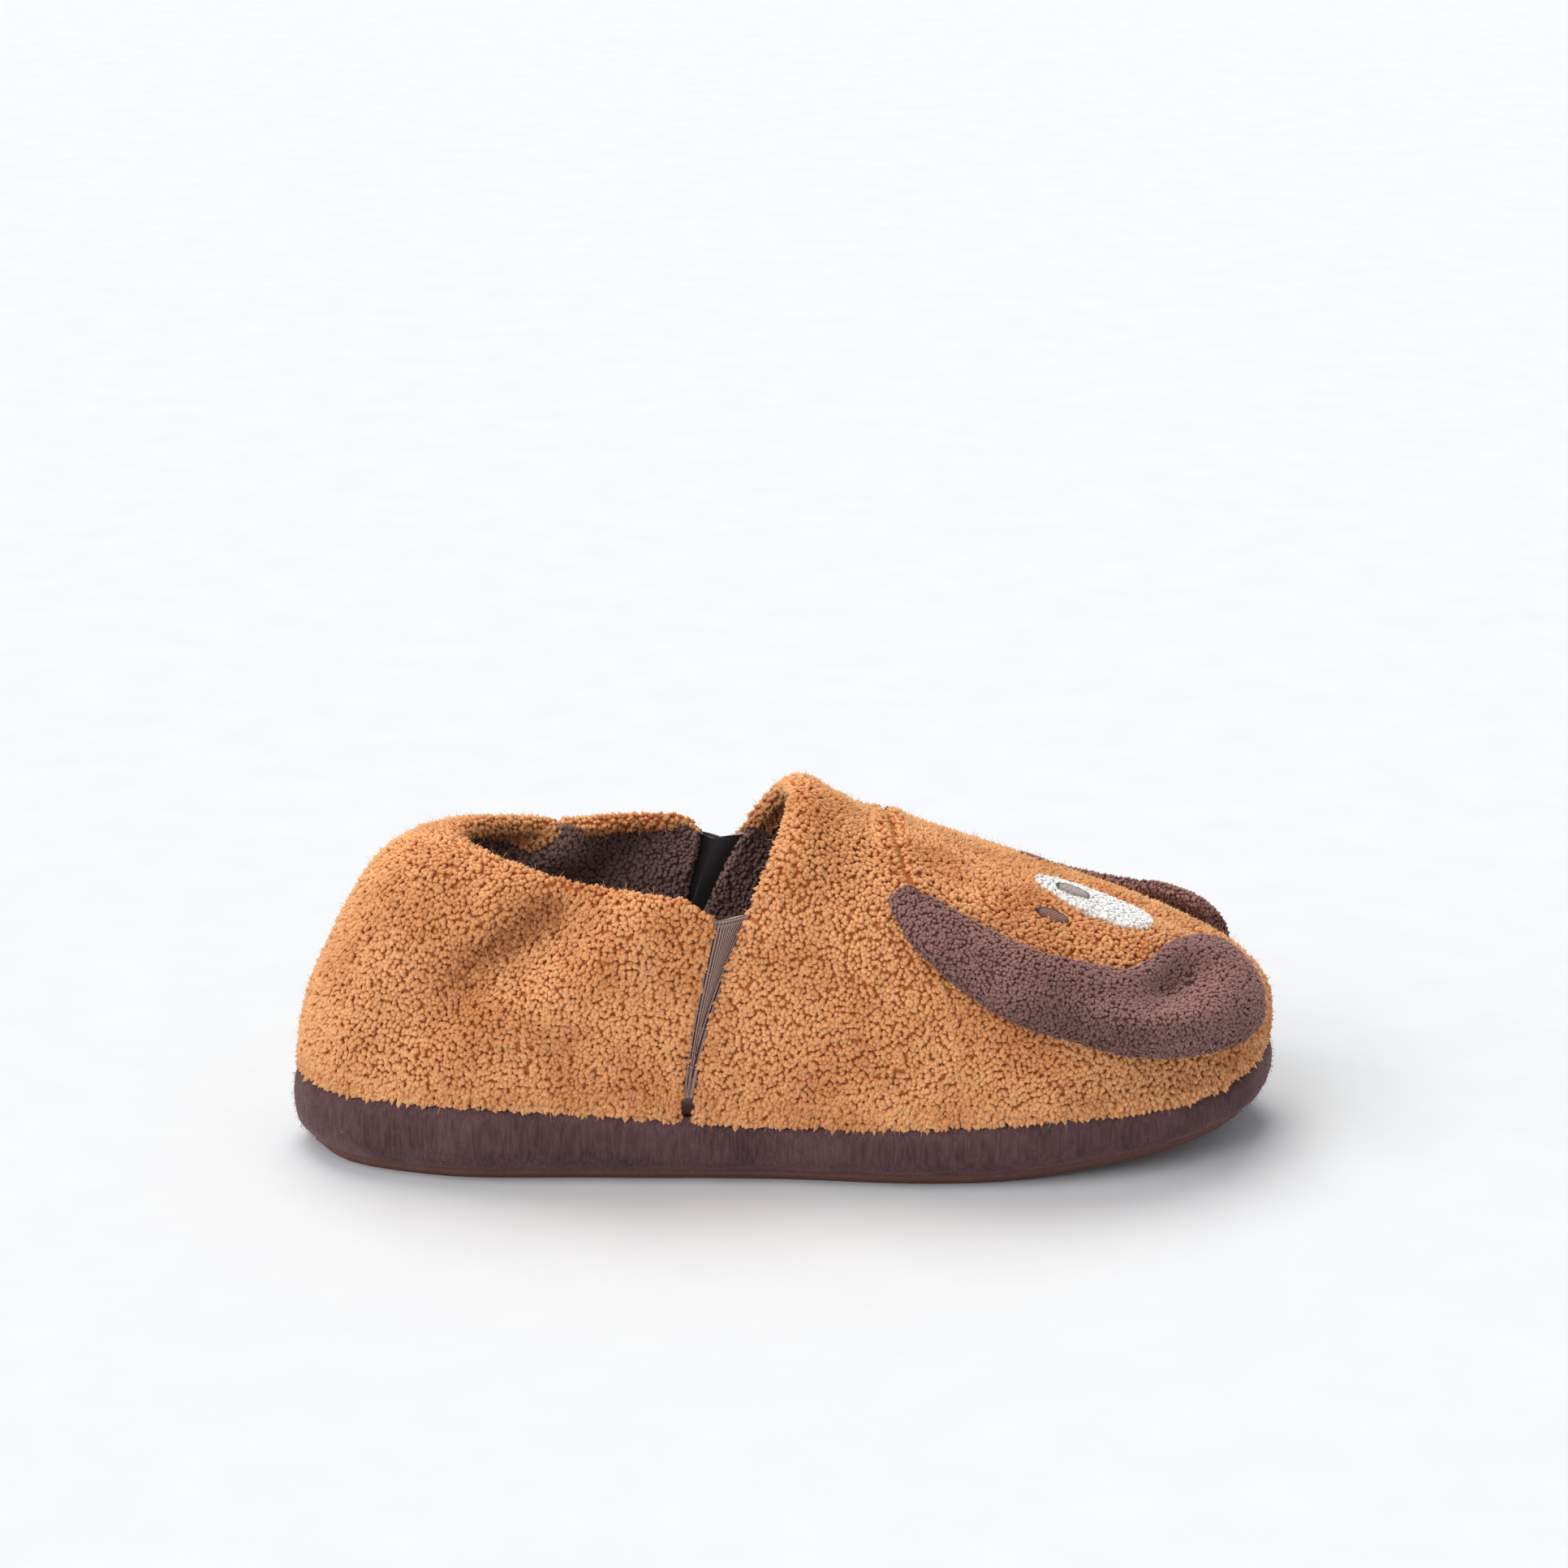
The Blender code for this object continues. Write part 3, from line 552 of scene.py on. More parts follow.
def value_of(tree: bpy.types.NodeTree, attribute: str) -> Link:
    """A value that the mesh carries at its points."""
    return add_node(tree, "ShaderNodeAttribute", {"attribute_name": attribute}), "Fac"


def noise(
    tree: bpy.types.NodeTree, where: bpy.types.Node, scale: float, detail: float, rough: float = 0.5
) -> Link:
    """Noise with this many cells to the metre."""
    settings = {"Scale": scale, "Detail": detail, "Roughness": rough}
    return add_node(tree, "ShaderNodeTexNoise", settings, {"Vector": (where, "Object")}), "Fac"


def ranged(
    tree: bpy.types.NodeTree, source: Link, span: tuple[float, float], onto: tuple[float, float]
) -> Link:
    """A value's span brought on to another one, and held at its ends."""
    settings = {1: span[0], 2: span[1], 3: onto[0], 4: onto[1]}
    return add_node(tree, "ShaderNodeMapRange", settings, {"Value": source}), 0


def ramped(tree: bpy.types.NodeTree, source: Link, stops: Sequence[tuple[float, str]]) -> Link:
    """Colours by a value: each stop is a place and a hex colour."""
    node = add_node(tree, "ShaderNodeValToRGB", None, {"Fac": source})
    ramp = node.color_ramp
    while len(ramp.elements) < len(stops):
        ramp.elements.new(0.5)
    for element, (place, colour) in zip(ramp.elements, stops):
        element.position = place
        element.color = linear(colour)
    return node, "Color"


def blended(tree: bpy.types.NodeTree, factor: Link, first: Link | str, second: str) -> Link:
    """The first colour where the factor is 0, and the second, a hex colour, where it is 1."""
    settings: dict[str | int, Any] = {"data_type": "RGBA", 7: linear(second)}
    links: dict[str | int, Link] = {0: factor}
    if isinstance(first, str):
        settings[6] = linear(first)
    else:
        links[6] = first
    return add_node(tree, "ShaderNodeMix", settings, links), 2


def brightened(tree: bpy.types.NodeTree, colour: Link, value: Link) -> Link:
    """A colour times a value."""
    return add_node(tree, "ShaderNodeHueSaturation", None, {"Value": value, "Color": colour}), "Color"


def bumped(
    tree: bpy.types.NodeTree, height: Link, strength: float, depth: float, under: Link | None = None,
    invert: bool = False,
) -> Link:
    """Bump of a height, this many metres deep, on top of another bump if one is given."""
    settings = {"Strength": strength, "Distance": depth, "invert": invert}
    links = {"Height": height} | ({"Normal": under} if under else {})
    return add_node(tree, "ShaderNodeBump", settings, links), "Normal"


def surfaced(
    tree: bpy.types.NodeTree, settings: Mapping[str | int, Any], colour: Link, bump: Link | None = None
) -> None:
    """Ends the tree in a principled shader and the output."""
    links = {"Base Color": colour} | ({"Normal": bump} if bump else {})
    shader = add_node(tree, "ShaderNodeBsdfPrincipled", {"IOR": 1.5} | settings, links)
    add_node(tree, "ShaderNodeOutputMaterial", None, {"Surface": (shader, 0)})


@dataclass(frozen=True)
class PlushFinish:
    """Cut and tumbled polyester pile: matt, with painted shade at the roots, painted light at the tips, and a
    soft sheen.

    Attributes:
        name: name of the material.
        root: colour deep between the tufts, painted shade.
        middle: colour half way up.
        tip: colour of the tips, painted light.
        shade: colour that uneven patches and painted shade drift to.
        sheen: strength of the sheen.
        sheen_tint: colour of the sheen.
    """

    name: str
    root: str
    middle: str
    tip: str
    shade: str
    sheen: float = 0.35
    sheen_tint: str = "#FFFFFF"

    def build(self) -> bpy.types.Material:
        """Makes the material."""
        material, tree, where = new_material(self.name)
        tone = value_of(tree, "pile_tone")
        # Painted shade and light: dark at the roots between the tufts, light at the tips
        stops = [(0.0, self.root), (0.55, self.middle), (1.0, self.tip)]
        colour = ramped(tree, value_of(tree, "pile_height"), stops)
        # Patches where the pile is brushed another way, about 14 mm across
        patch = ranged(tree, noise(tree, where, 70.0, 3.0, 0.6), (0.42, 0.70), (0.0, 0.55))
        colour = blended(tree, patch, colour, self.shade)
        # Pressed pile shows its deeper colour
        # Painted shade: a tone below 0, set in fold troughs, low on the toe and on the ears' downward faces,
        # drifts to the shade colour
        painted_shade = ranged(tree, tone, (-1.5, 0.0), (0.9, 0.0))
        colour = blended(tree, painted_shade, colour, self.shade)
        # One tuft differs from the next by a few per cent; painted shade and light move the tone down and up
        colour = brightened(tree, colour, ranged(tree, tone, (-1.5, 1.0), (0.66, 1.12)))
        # Single fibres are about 0.02 mm; they are drawn 0.15 mm wide so that they show
        bump = bumped(tree, noise(tree, where, 3500.0, 2.0), 0.5, 0.0002)
        settings = {
            "Roughness": 0.9,
            "Specular IOR Level": 0.2,
            "Sheen Weight": self.sheen,
            "Sheen Roughness": 0.45,
            "Sheen Tint": linear(self.sheen_tint),
        }
        surfaced(tree, settings, colour, bump)
        return material


@dataclass(frozen=True)
class NapFinish:
    """Short-nap knitted velvet: fine upright streaks, brushed patches and a few pale specks."""

    name: str
    dark: str
    light: str
    speck: str = "#8A6E70"
    sheen: float = 0.4
    streak: float = 0.0005

    def build(self) -> bpy.types.Material:
        """Makes the material."""
        material, tree, where = new_material(self.name)
        # Streaks of the knit run up the side: a noise squeezed along the length, 0.5 mm wide and 5 mm tall
        scale = (1 / self.streak, 1 / self.streak, 0.1 / self.streak)
        squeezed = add_node(tree, "ShaderNodeMapping", {"Scale": scale}, {"Vector": (where, "Object")})
        lines = {"Scale": 1.0, "Detail": 3.0}
        streaks = add_node(tree, "ShaderNodeTexNoise", lines, {"Vector": (squeezed, "Vector")}), "Fac"
        mixing = {"data_type": "FLOAT", 0: 0.45}
        mixed = add_node(tree, "ShaderNodeMix", mixing, {2: streaks, 3: noise(tree, where, 110.0, 4.0, 0.6)})
        colour = ramped(tree, (mixed, 0), [(0.34, self.dark), (0.66, self.light)])
        # Specks of lint, one every few millimetres
        rare = ranged(tree, noise(tree, where, 1500.0, 1.0), (0.74, 0.80), (0.0, 0.8))
        colour = blended(tree, rare, colour, self.speck)
        soft = bumped(tree, noise(tree, where, 2600.0, 3.0), 0.7, 0.0003)
        settings = {
            "Roughness": 0.88,
            "Specular IOR Level": 0.2,
            "Sheen Weight": self.sheen,
            "Sheen Roughness": 0.4,
            "Sheen Tint": linear("#C9A9A6"),
        }
        surfaced(tree, settings, colour, bumped(tree, streaks, 0.35, 0.0004, soft))
        return material


@dataclass(frozen=True)
class RubberFinish:
    """Moulded sheet rubber: dull, with fine moulded pimples and dust mixed in by a fine grain noise."""

    name: str
    body: str
    dust: str

    def build(self) -> bpy.types.Material:
        """Makes the material."""
        material, tree, where = new_material(self.name)
        # Pimples of the tread, one each 3 mm
        pimples = {"Scale": 330.0, "Randomness": 0.12}
        tread = add_node(tree, "ShaderNodeTexVoronoi", pimples, {"Vector": (where, "Object")}), "Distance"
        grain = noise(tree, where, 900.0, 4.0)
        studs = bumped(tree, tread, 0.5, 0.0006, invert=True)
        settings = {"Roughness": 0.72, "Specular IOR Level": 0.35}
        bump = bumped(tree, grain, 0.3, 0.0002, studs)
        surfaced(tree, settings, blended(tree, grain, self.body, self.dust), bump)
        return material


@dataclass(frozen=True)
class ThreadFinish:
    """Spun polyester thread or knitted elastic: matt ribs coloured by height, with painted shade in the gaps
    and painted light on the ridges.
    """

    name: str
    gap: str
    ridge: str
    sheen: float = 0.25

    def build(self) -> bpy.types.Material:
        """Makes the material."""
        material, tree, where = new_material(self.name)
        # Painted shade and light: the gap colour where the height is low, the ridge colour where it is high
        colour = ramped(tree, value_of(tree, "pile_height"), [(0.15, self.gap), (0.9, self.ridge)])
        # Crossing yarns of the knit, 0.3 mm apart up the strip
        bands = {"bands_direction": "Z", "Scale": 1050.0, "Distortion": 1.5}
        yarns = add_node(tree, "ShaderNodeTexWave", bands, {"Vector": (where, "Object")}), "Fac"
        colour = brightened(tree, colour, ranged(tree, yarns, (0.0, 1.0), (0.75, 1.15)))
        settings = {"Roughness": 0.75, "Specular IOR Level": 0.3, "Sheen Weight": self.sheen}
        surfaced(tree, settings, colour, bumped(tree, yarns, 0.5, 0.0002))
        return material


# Form of the foot


class FootOutline:
    """The sole's outline as a closed curve, read by distance from the heel's back along the outer side."""

    def __init__(self, rows: Table, sizes: ShoeSizes, steps: int = 720) -> None:
        corners = np.array(rows) * (sizes.length, sizes.ball_width) - (sizes.length / 2, 0)
        loop = np.vstack([corners[-3:], corners, corners[:4]])
        knots = np.concatenate([[0], np.cumsum(np.linalg.norm(np.diff(loop, axis=0), axis=1))])
        fine = np.linspace(knots[3], knots[3 + len(corners)], steps + 1)
        self.sizes = sizes
        self.xy = np.column_stack([smooth_between(knots, loop[:, k], fine) for k in (0, 1)])
        self.arc = np.concatenate([[0], np.cumsum(np.linalg.norm(np.diff(self.xy, axis=0), axis=1))])
        self.length = float(self.arc[-1])
        self.tip = float(self.arc[np.argmax(self.xy[:, 0])])
        tangent = unit(np.roll(self.xy[:-1], -1, axis=0) - np.roll(self.xy[:-1], 1, axis=0))
        self.tangent = np.vstack([tangent, tangent[:1]])

    def read(self, arc: Array) -> tuple[Array, Array]:
        """Points and unit tangents at these distances."""
        arc = np.mod(arc, self.length)
        point = np.column_stack([np.interp(arc, self.arc, self.xy[:, k]) for k in (0, 1)])
        tangent = np.column_stack([np.interp(arc, self.arc, self.tangent[:, k]) for k in (0, 1)])
        return point, unit(tangent)

    def inset(self, arc: Array, distance: float) -> Array:
        """Points that lie this far inside the outline."""
        point, tangent = self.read(arc)
        return point + np.column_stack([-tangent[:, 1], tangent[:, 0]]) * distance

    def arc_at(self, side: Side, along: float) -> float:
        """Distance round the outline at which one side is at this share of the length."""
        half = self.arc <= self.tip if side is Side.OUTER else self.arc >= self.tip
        x, arc = self.xy[half, 0], self.arc[half]
        order = np.argsort(x)
        return float(np.interp((along - 0.5) * self.sizes.length, x[order], arc[order]))

    def spring(self, x: Array) -> Array:
        """How far the sole's bottom has left the floor at x."""
        share = np.clip(x / self.sizes.length + 0.5, 0, 1)
        return self.sizes.toe_spring * np.maximum(0, from_table(SOLE_SIDE, 2, share))

    def seam(self, x: Array) -> Array:
        """Height of the padded sole's top at x, where the upper is sewn on."""
        share = np.clip(x / self.sizes.length + 0.5, 0, 1)
        return self.sizes.sole_height * from_table(SOLE_SIDE, 1, share) + self.spring(x)

    def ring(self, steps: int, inset: float, share: float, height: float) -> Array:
        """A ring of the sole: the outline drawn in, at a share of the way to the seam plus a height."""
        arc = np.concatenate([
            np.linspace(0, self.tip, steps // 2, endpoint=False),
            np.linspace(self.tip, self.length, steps // 2, endpoint=False),
        ])
        flat = self.inset(arc, inset)
        spring = self.spring(flat[:, 0])
        return np.column_stack([flat, spring + share * (self.seam(flat[:, 0]) - spring) + height])


class UpperForm:
    """The outer face of the upper as ribs, which climb from the sole's seam to the collar or the ridge.

    The folds of the heel are deepened by fold_gain.
    """

    def __init__(self, outline: FootOutline, fold_gain: float = 1.75) -> None:
        self.outline = outline
        self.sizes = outline.sizes
        self.fold_gain = fold_gain
        self.slit = {side: outline.arc_at(side, RIDGE[0][0]) for side in Side}
        shares = np.linspace(0, 1, 180)
        feet = [self.front_feet(side, shares)[0][:, 0] for side in Side]
        self.front_shares = shares
        self.front_along = np.maximum.accumulate((feet[0] + feet[1]) / 2 / self.sizes.length + 0.5)

    def feet_at(self, arc: Array) -> tuple[Array, Array]:
        """Feet and tangents of ribs at these distances round the sole."""
        point = self.outline.inset(arc, self.sizes.inset)
        height = self.outline.seam(point[:, 0]) + self.sizes.clearance
        return np.column_stack([point, height]), self.outline.read(arc)[1]

    def heel_reach(self, side: Side) -> float:
        """Length of the seam from the heel's back to the slit on one side."""
        return self.slit[side] if side is Side.OUTER else self.outline.length - self.slit[side]

    def heel_feet(self, side: Side, share: Array) -> tuple[Array, Array]:
        """Feet of the heel part: share 0 at the back of the heel, 1 at the slit."""
        arc = share * (self.heel_reach(side) - self.sizes.slit_at_foot / 2)
        return self.feet_at(arc if side is Side.OUTER else self.outline.length - arc)

    def front_feet(self, side: Side, share: Array) -> tuple[Array, Array]:
        """Feet of the front part: share 0 at the slit, 1 at the tip of the toe."""
        start = self.slit[side] - side.value * self.sizes.slit_at_foot / 2
        return self.feet_at(start + share * (self.outline.tip - start))

    def ribs(
        self, feet: Array, tangent: Array, top: Array, square: Array, puff: Array, slope: Array, rise: Array
    ) -> Array:
        """Points on ribs: a rib closes inwards as 1 - cos^(2/n), and climbs and leans as sin^(2/n).

        Args:
            feet: feet of the ribs.
            tangent: direction of the seam there.
            top: tops of the ribs.
            square: squareness n; 2 is an ellipse.
            puff: share of the side's bulge.
            slope: share of the heel's slope.
            rise: 0 at the foot, 1 at the top.

        Returns:
            One point for each rib and rise.
        """
        inward = np.column_stack([-tangent[:, 1], tangent[:, 0]])
        span = top - feet
        across = np.sum(span[:, :2] * inward, axis=1)
        lean = np.sum(span[:, :2] * tangent, axis=1)
        angle = rise * math.pi / 2
        up = np.sin(angle) ** (2 / square)
        close = 1 - np.clip(np.cos(angle), 0, 1) ** (2 / square)
        swell = puff * self.sizes.side_bulge * np.sin(math.pi * rise) * (1 - rise)
        swell -= slope * self.sizes.heel_slope * np.sin(math.pi * up**1.7)
        flat = feet[:, :2] + inward * (across * close - swell)[:, None]
        flat = flat + tangent * (lean * up**self.sizes.rib_sweep)[:, None]
        return np.column_stack([flat, feet[:, 2] + span[:, 2] * up])

    def heel(self, side: Side, share: Array, rise: Array) -> Array:
        """Points of the heel part, folds included, for arrays of shares and rises of one length."""
        s = self.sizes
        feet, tangent = self.heel_feet(side, share)
        along, out, up, square, puff, slope = (from_table(COLLAR, column, share) for column in range(1, 7))
        out = side.value * out * COLLAR_REACH[side]
        top = np.column_stack([(along - 0.5) * s.length, out * s.ball_width, up * s.heel_height])
        bare = self.ribs(feet, tangent, top, square, puff, slope, rise)
        outward = np.column_stack([tangent[:, 1], -tangent[:, 0], 0 * share])
        upright = smooth_step(1.0, 0.8, rise) * smooth_step(0.0, 0.15, rise)
        return bare + outward * (self.fold_depth(bare) * upright)[:, None]

    def front(self, side: Side, share: Array, rise: Array) -> Array:
        """Points of the front part, with the groove and lip of its cross seam."""
        s = self.sizes
        feet, tangent = self.front_feet(side, share)
        foot = np.interp(share, self.front_shares, self.front_along)
        along, up, out, square = (from_table(RIDGE, column, foot) for column in range(1, 5))
        top = np.column_stack([(along - 0.5) * s.length, out * s.ball_width, up * s.instep_height])
        bare = self.ribs(feet, tangent, top, square, 0.8 + 0 * share, 0 * share, rise)
        away = (foot - s.seam_foot) * s.length / s.seam_half_width
        relief = np.exp(-((away - 2) ** 2)) * s.seam_lip - np.exp(-(away**2)) * s.seam_depth
        bare[:, 2] += relief * smooth_step(s.seam_rise - 0.1, s.seam_rise + 0.15, rise)
        return bare

    def fold_depth(self, points: Array) -> Array:
        """Sum of the soft folds at these points: each a smooth bell across a short line in the side view."""
        place = points[:, [0, 2]]
        depth = np.zeros(len(points))
        for start_x, start_z, end_x, end_z, width, height in FOLDS:
            start = np.array([(start_x - 0.5) * self.sizes.length, start_z * self.sizes.heel_height])
            line = np.array([(end_x - 0.5) * self.sizes.length, end_z * self.sizes.heel_height]) - start
            share = np.clip((place - start) @ line / (line @ line), 0, 1)
            away = np.linalg.norm(place - start - share[:, None] * line, axis=1)
            bell = np.exp(-((away / width) ** 2))
            depth += height * self.sizes.wall * (1 - 0.75 * share**2) * bell * self.fold_gain
        return depth

    def seam_share(self) -> float:
        """Share of the front part at which the cross seam's rib stands."""
        return float(np.interp(self.sizes.seam_foot, self.front_along, self.front_shares))

    def heel_grid(self, columns: int, rows: int, drawn: float) -> Array:
        """Grid of the heel part, from the inner slit round the back to the outer slit.

        Args:
            columns: columns on each side.
            rows: rows from the seam to the collar.
            drawn: how far the free edges are drawn back, in metres.

        Returns:
            Points, columns by rows by 3.
        """
        rise = np.linspace(0, 1 - drawn / 0.045, rows + 1)
        halves = {}
        for side in Side:
            share = np.linspace(0, 1 - drawn / self.heel_reach(side), columns + 1)
            a, b = (m.ravel() for m in np.meshgrid(share, rise, indexing="ij"))
            halves[side] = self.heel(side, a, b).reshape(columns + 1, rows + 1, 3)
        return np.concatenate([halves[Side.INNER][::-1], halves[Side.OUTER][1:]])

    def front_grid(self, low: float, high: float, columns: int, rows: int) -> Array:
        """Grid of the front part: each column arches from the outer seam over the ridge to the inner seam.

        Args:
            low: share at the first column.
            high: share at the last column.
            columns: columns between them.
            rows: rows from a seam to the ridge.

        Returns:
            Points, columns by rows by 3.
        """
        share, rise = np.linspace(low, high, columns + 1), np.linspace(0, 1, rows + 1)
        a, b = (m.ravel() for m in np.meshgrid(share, rise, indexing="ij"))
        outer, inner = (self.front(side, a, b).reshape(columns + 1, rows + 1, 3) for side in Side)
        return np.concatenate([outer, inner[:, -2::-1]], axis=1)


class Drape:
    """Lays points on the upper: the four nearest points of a fine net give the surface and its normal."""

    def __init__(self, skins: Sequence[Skin]) -> None:
        self.points = np.vstack([skin.points for skin in skins])
        self.normals = np.vstack([skin.normals for skin in skins])

    def _nearest(self, places: Array, axes: Sequence[int], upward: bool) -> tuple[Array, Array]:
        """Indexes and weights of the four nearest net points, measured along these axes."""
        allowed = np.flatnonzero(self.normals[:, 2] > 0.15) if upward else np.arange(len(self.points))
        net = self.points[allowed][:, axes]
        found, weights = [], []
        for part in np.array_split(places[:, axes], max(1, len(places) // 256)):
            square = ((part[:, None] - net[None]) ** 2).sum(axis=2)
            near = np.argpartition(square, 4, axis=1)[:, :4]
            reach = np.take_along_axis(square, near, axis=1)
            found.append(allowed[near])
            weights.append(1 / (reach + 1e-8))
        share = np.vstack(weights)
        return np.vstack(found), (share / share.sum(axis=1, keepdims=True))[:, :, None]

    def onto(self, places: Array) -> tuple[Array, Array]:
        """The nearest points of the surface and the normals there.

        Each place is dropped on to the tangent planes of its four nearest net points, and the four feet are
        averaged by closeness.
        """
        near, share = self._nearest(places, [0, 1, 2], False)
        net, normals = self.points[near], self.normals[near]
        height = np.sum((places[:, None] - net) * normals, axis=2, keepdims=True)
        feet = ((places[:, None] - normals * height) * share).sum(axis=1)
        return feet, unit((normals * share).sum(axis=1))

    def below(self, flat: Array) -> tuple[Array, Array]:
        """The points of the surface straight below places of the floor plan, and the normals there."""
        near, share = self._nearest(flat, [0, 1], True)
        net, normals = self.points[near], self.normals[near]
        away = flat[:, None] - net[:, :, :2]
        height = net[:, :, 2] - np.sum(away * normals[:, :, :2], axis=2) / normals[:, :, 2]
        height = (height * share[:, :, 0]).sum(axis=1)
        return np.column_stack([flat, height]), unit((normals * share).sum(axis=1))


# Sub-assemblies


def declare(piece: bpy.types.Object, replaced: str) -> None:
    """Puts a piece on the root body and hides the solid that it replaces.

    Args:
        piece: the piece, which rides on the only body.
        replaced: solid that it replaces.
    """
    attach(piece, "root")
    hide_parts(replaced)


@dataclass
class SoleUnit:
    """Outsole, padded sole in short nap, and insole.

    Attributes:
        outline: outline of the foot.
        steps: points round a ring.
        nap: loose fibres on the padded sole.
    """

    outline: FootOutline
    steps: int = 420
    nap: Fuzz = Fuzz(pitch=0.0010, length=0.0007, width=0.00009)

    def _closed(self, rings: list[Array]) -> Skin:
        """Skin of rings, each end closed by rings drawn in to a line along the middle."""
        first, last = rings[0], rings[-1]
        return Skin.from_grid(np.stack([*self._lid(first)[::-1], *rings, *self._lid(last)]), around=True)

    @staticmethod
    def _lid(ring: Array) -> list[Array]:
        """Rings between this ring and its own middle line: y shrinks to 0 in four steps."""
        middle = ring * (1, 0, 1)
        return [ring + (middle - ring) * share for share in (0.15, 0.45, 0.75, 1.0)]

    def padded_sole(self) -> None:
        """Foam sole wrapped in short nap: the section's curve carried round the outline, slightly uneven."""
        s = self.outline.sizes
        floor = s.outsole + s.clearance
        section = np.array(SOLE_SECTION)
        share = np.linspace(0, 1, 27)
        knots = np.linspace(0, 1, len(section))
        inset = smooth_between(knots, section[:, 0], share)
        height = smooth_between(knots, section[:, 1], share)
        rings = [
            self.outline.ring(self.steps, i * s.sole_height, float(h), floor * (1 - h))
            for i, h in zip(inset, height)
        ]
        skin = self._closed(rings)
        if np.sum(skin.normals * (skin.points - (0, 0, 0.008))) < 0:
            skin = skin.turned()
        side = np.abs(skin.normals[:, 2]) < 0.8
        waves = 0.00016 * ripple(skin.points, 0.022, 3) + 0.00008 * ripple(skin.points, 0.006, 4)
        skin.points = skin.points + skin.normals * (waves * side)[:, None]
        parts = MeshParts()
        parts.add_skin(skin, 0.5)
        self.nap.grow(skin.kept(side), parts, 11)
        piece = parts.build("sole_wrap", NapFinish("Short-nap velvet, cocoa", "#432E30", "#6B4D50").build())
        declare(piece, "padded_sole")

    def insole(self) -> None:
        """Soft insole inside the foot: a slab with a rounded edge and a shallow dish."""
        s = self.outline.sizes
        edge = s.inset + s.wall + 0.0005
        steps = [(0, 0), (0, 0.5), (0.0004, 0.8), (0.0014, 0.97), (0.004, 1.0), (0.010, 0.93)]
        rings = [self.outline.ring(self.steps, edge + i, 1, s.clearance + s.insole * h) for i, h in steps]
        skin = self._closed(rings)
        if skin.normals[np.argmax(skin.points[:, 2]), 2] < 0:
            skin = skin.turned()
        parts = MeshParts()
        parts.add_skin(skin, 0.4)
        piece = parts.build("insole_pad", lining_finish().build())
        declare(piece, "insole")

    def outsole(self, nodes: Mapping[str, bpy.types.Object]) -> None:
        """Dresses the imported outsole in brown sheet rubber."""
        node = nodes["outsole"]
        material = RubberFinish("Moulded sheet rubber, red-brown", "#5A3831", "#7A5147").build()
        node.data.materials.clear()
        node.data.materials.append(material)


def lining_finish() -> PlushFinish:
    """Dark fleece of the lining."""
    return PlushFinish("Fleece lining, dark cocoa", "#5A403C", "#8E6A63", "#B08E86", "#6E524C", 0.35)


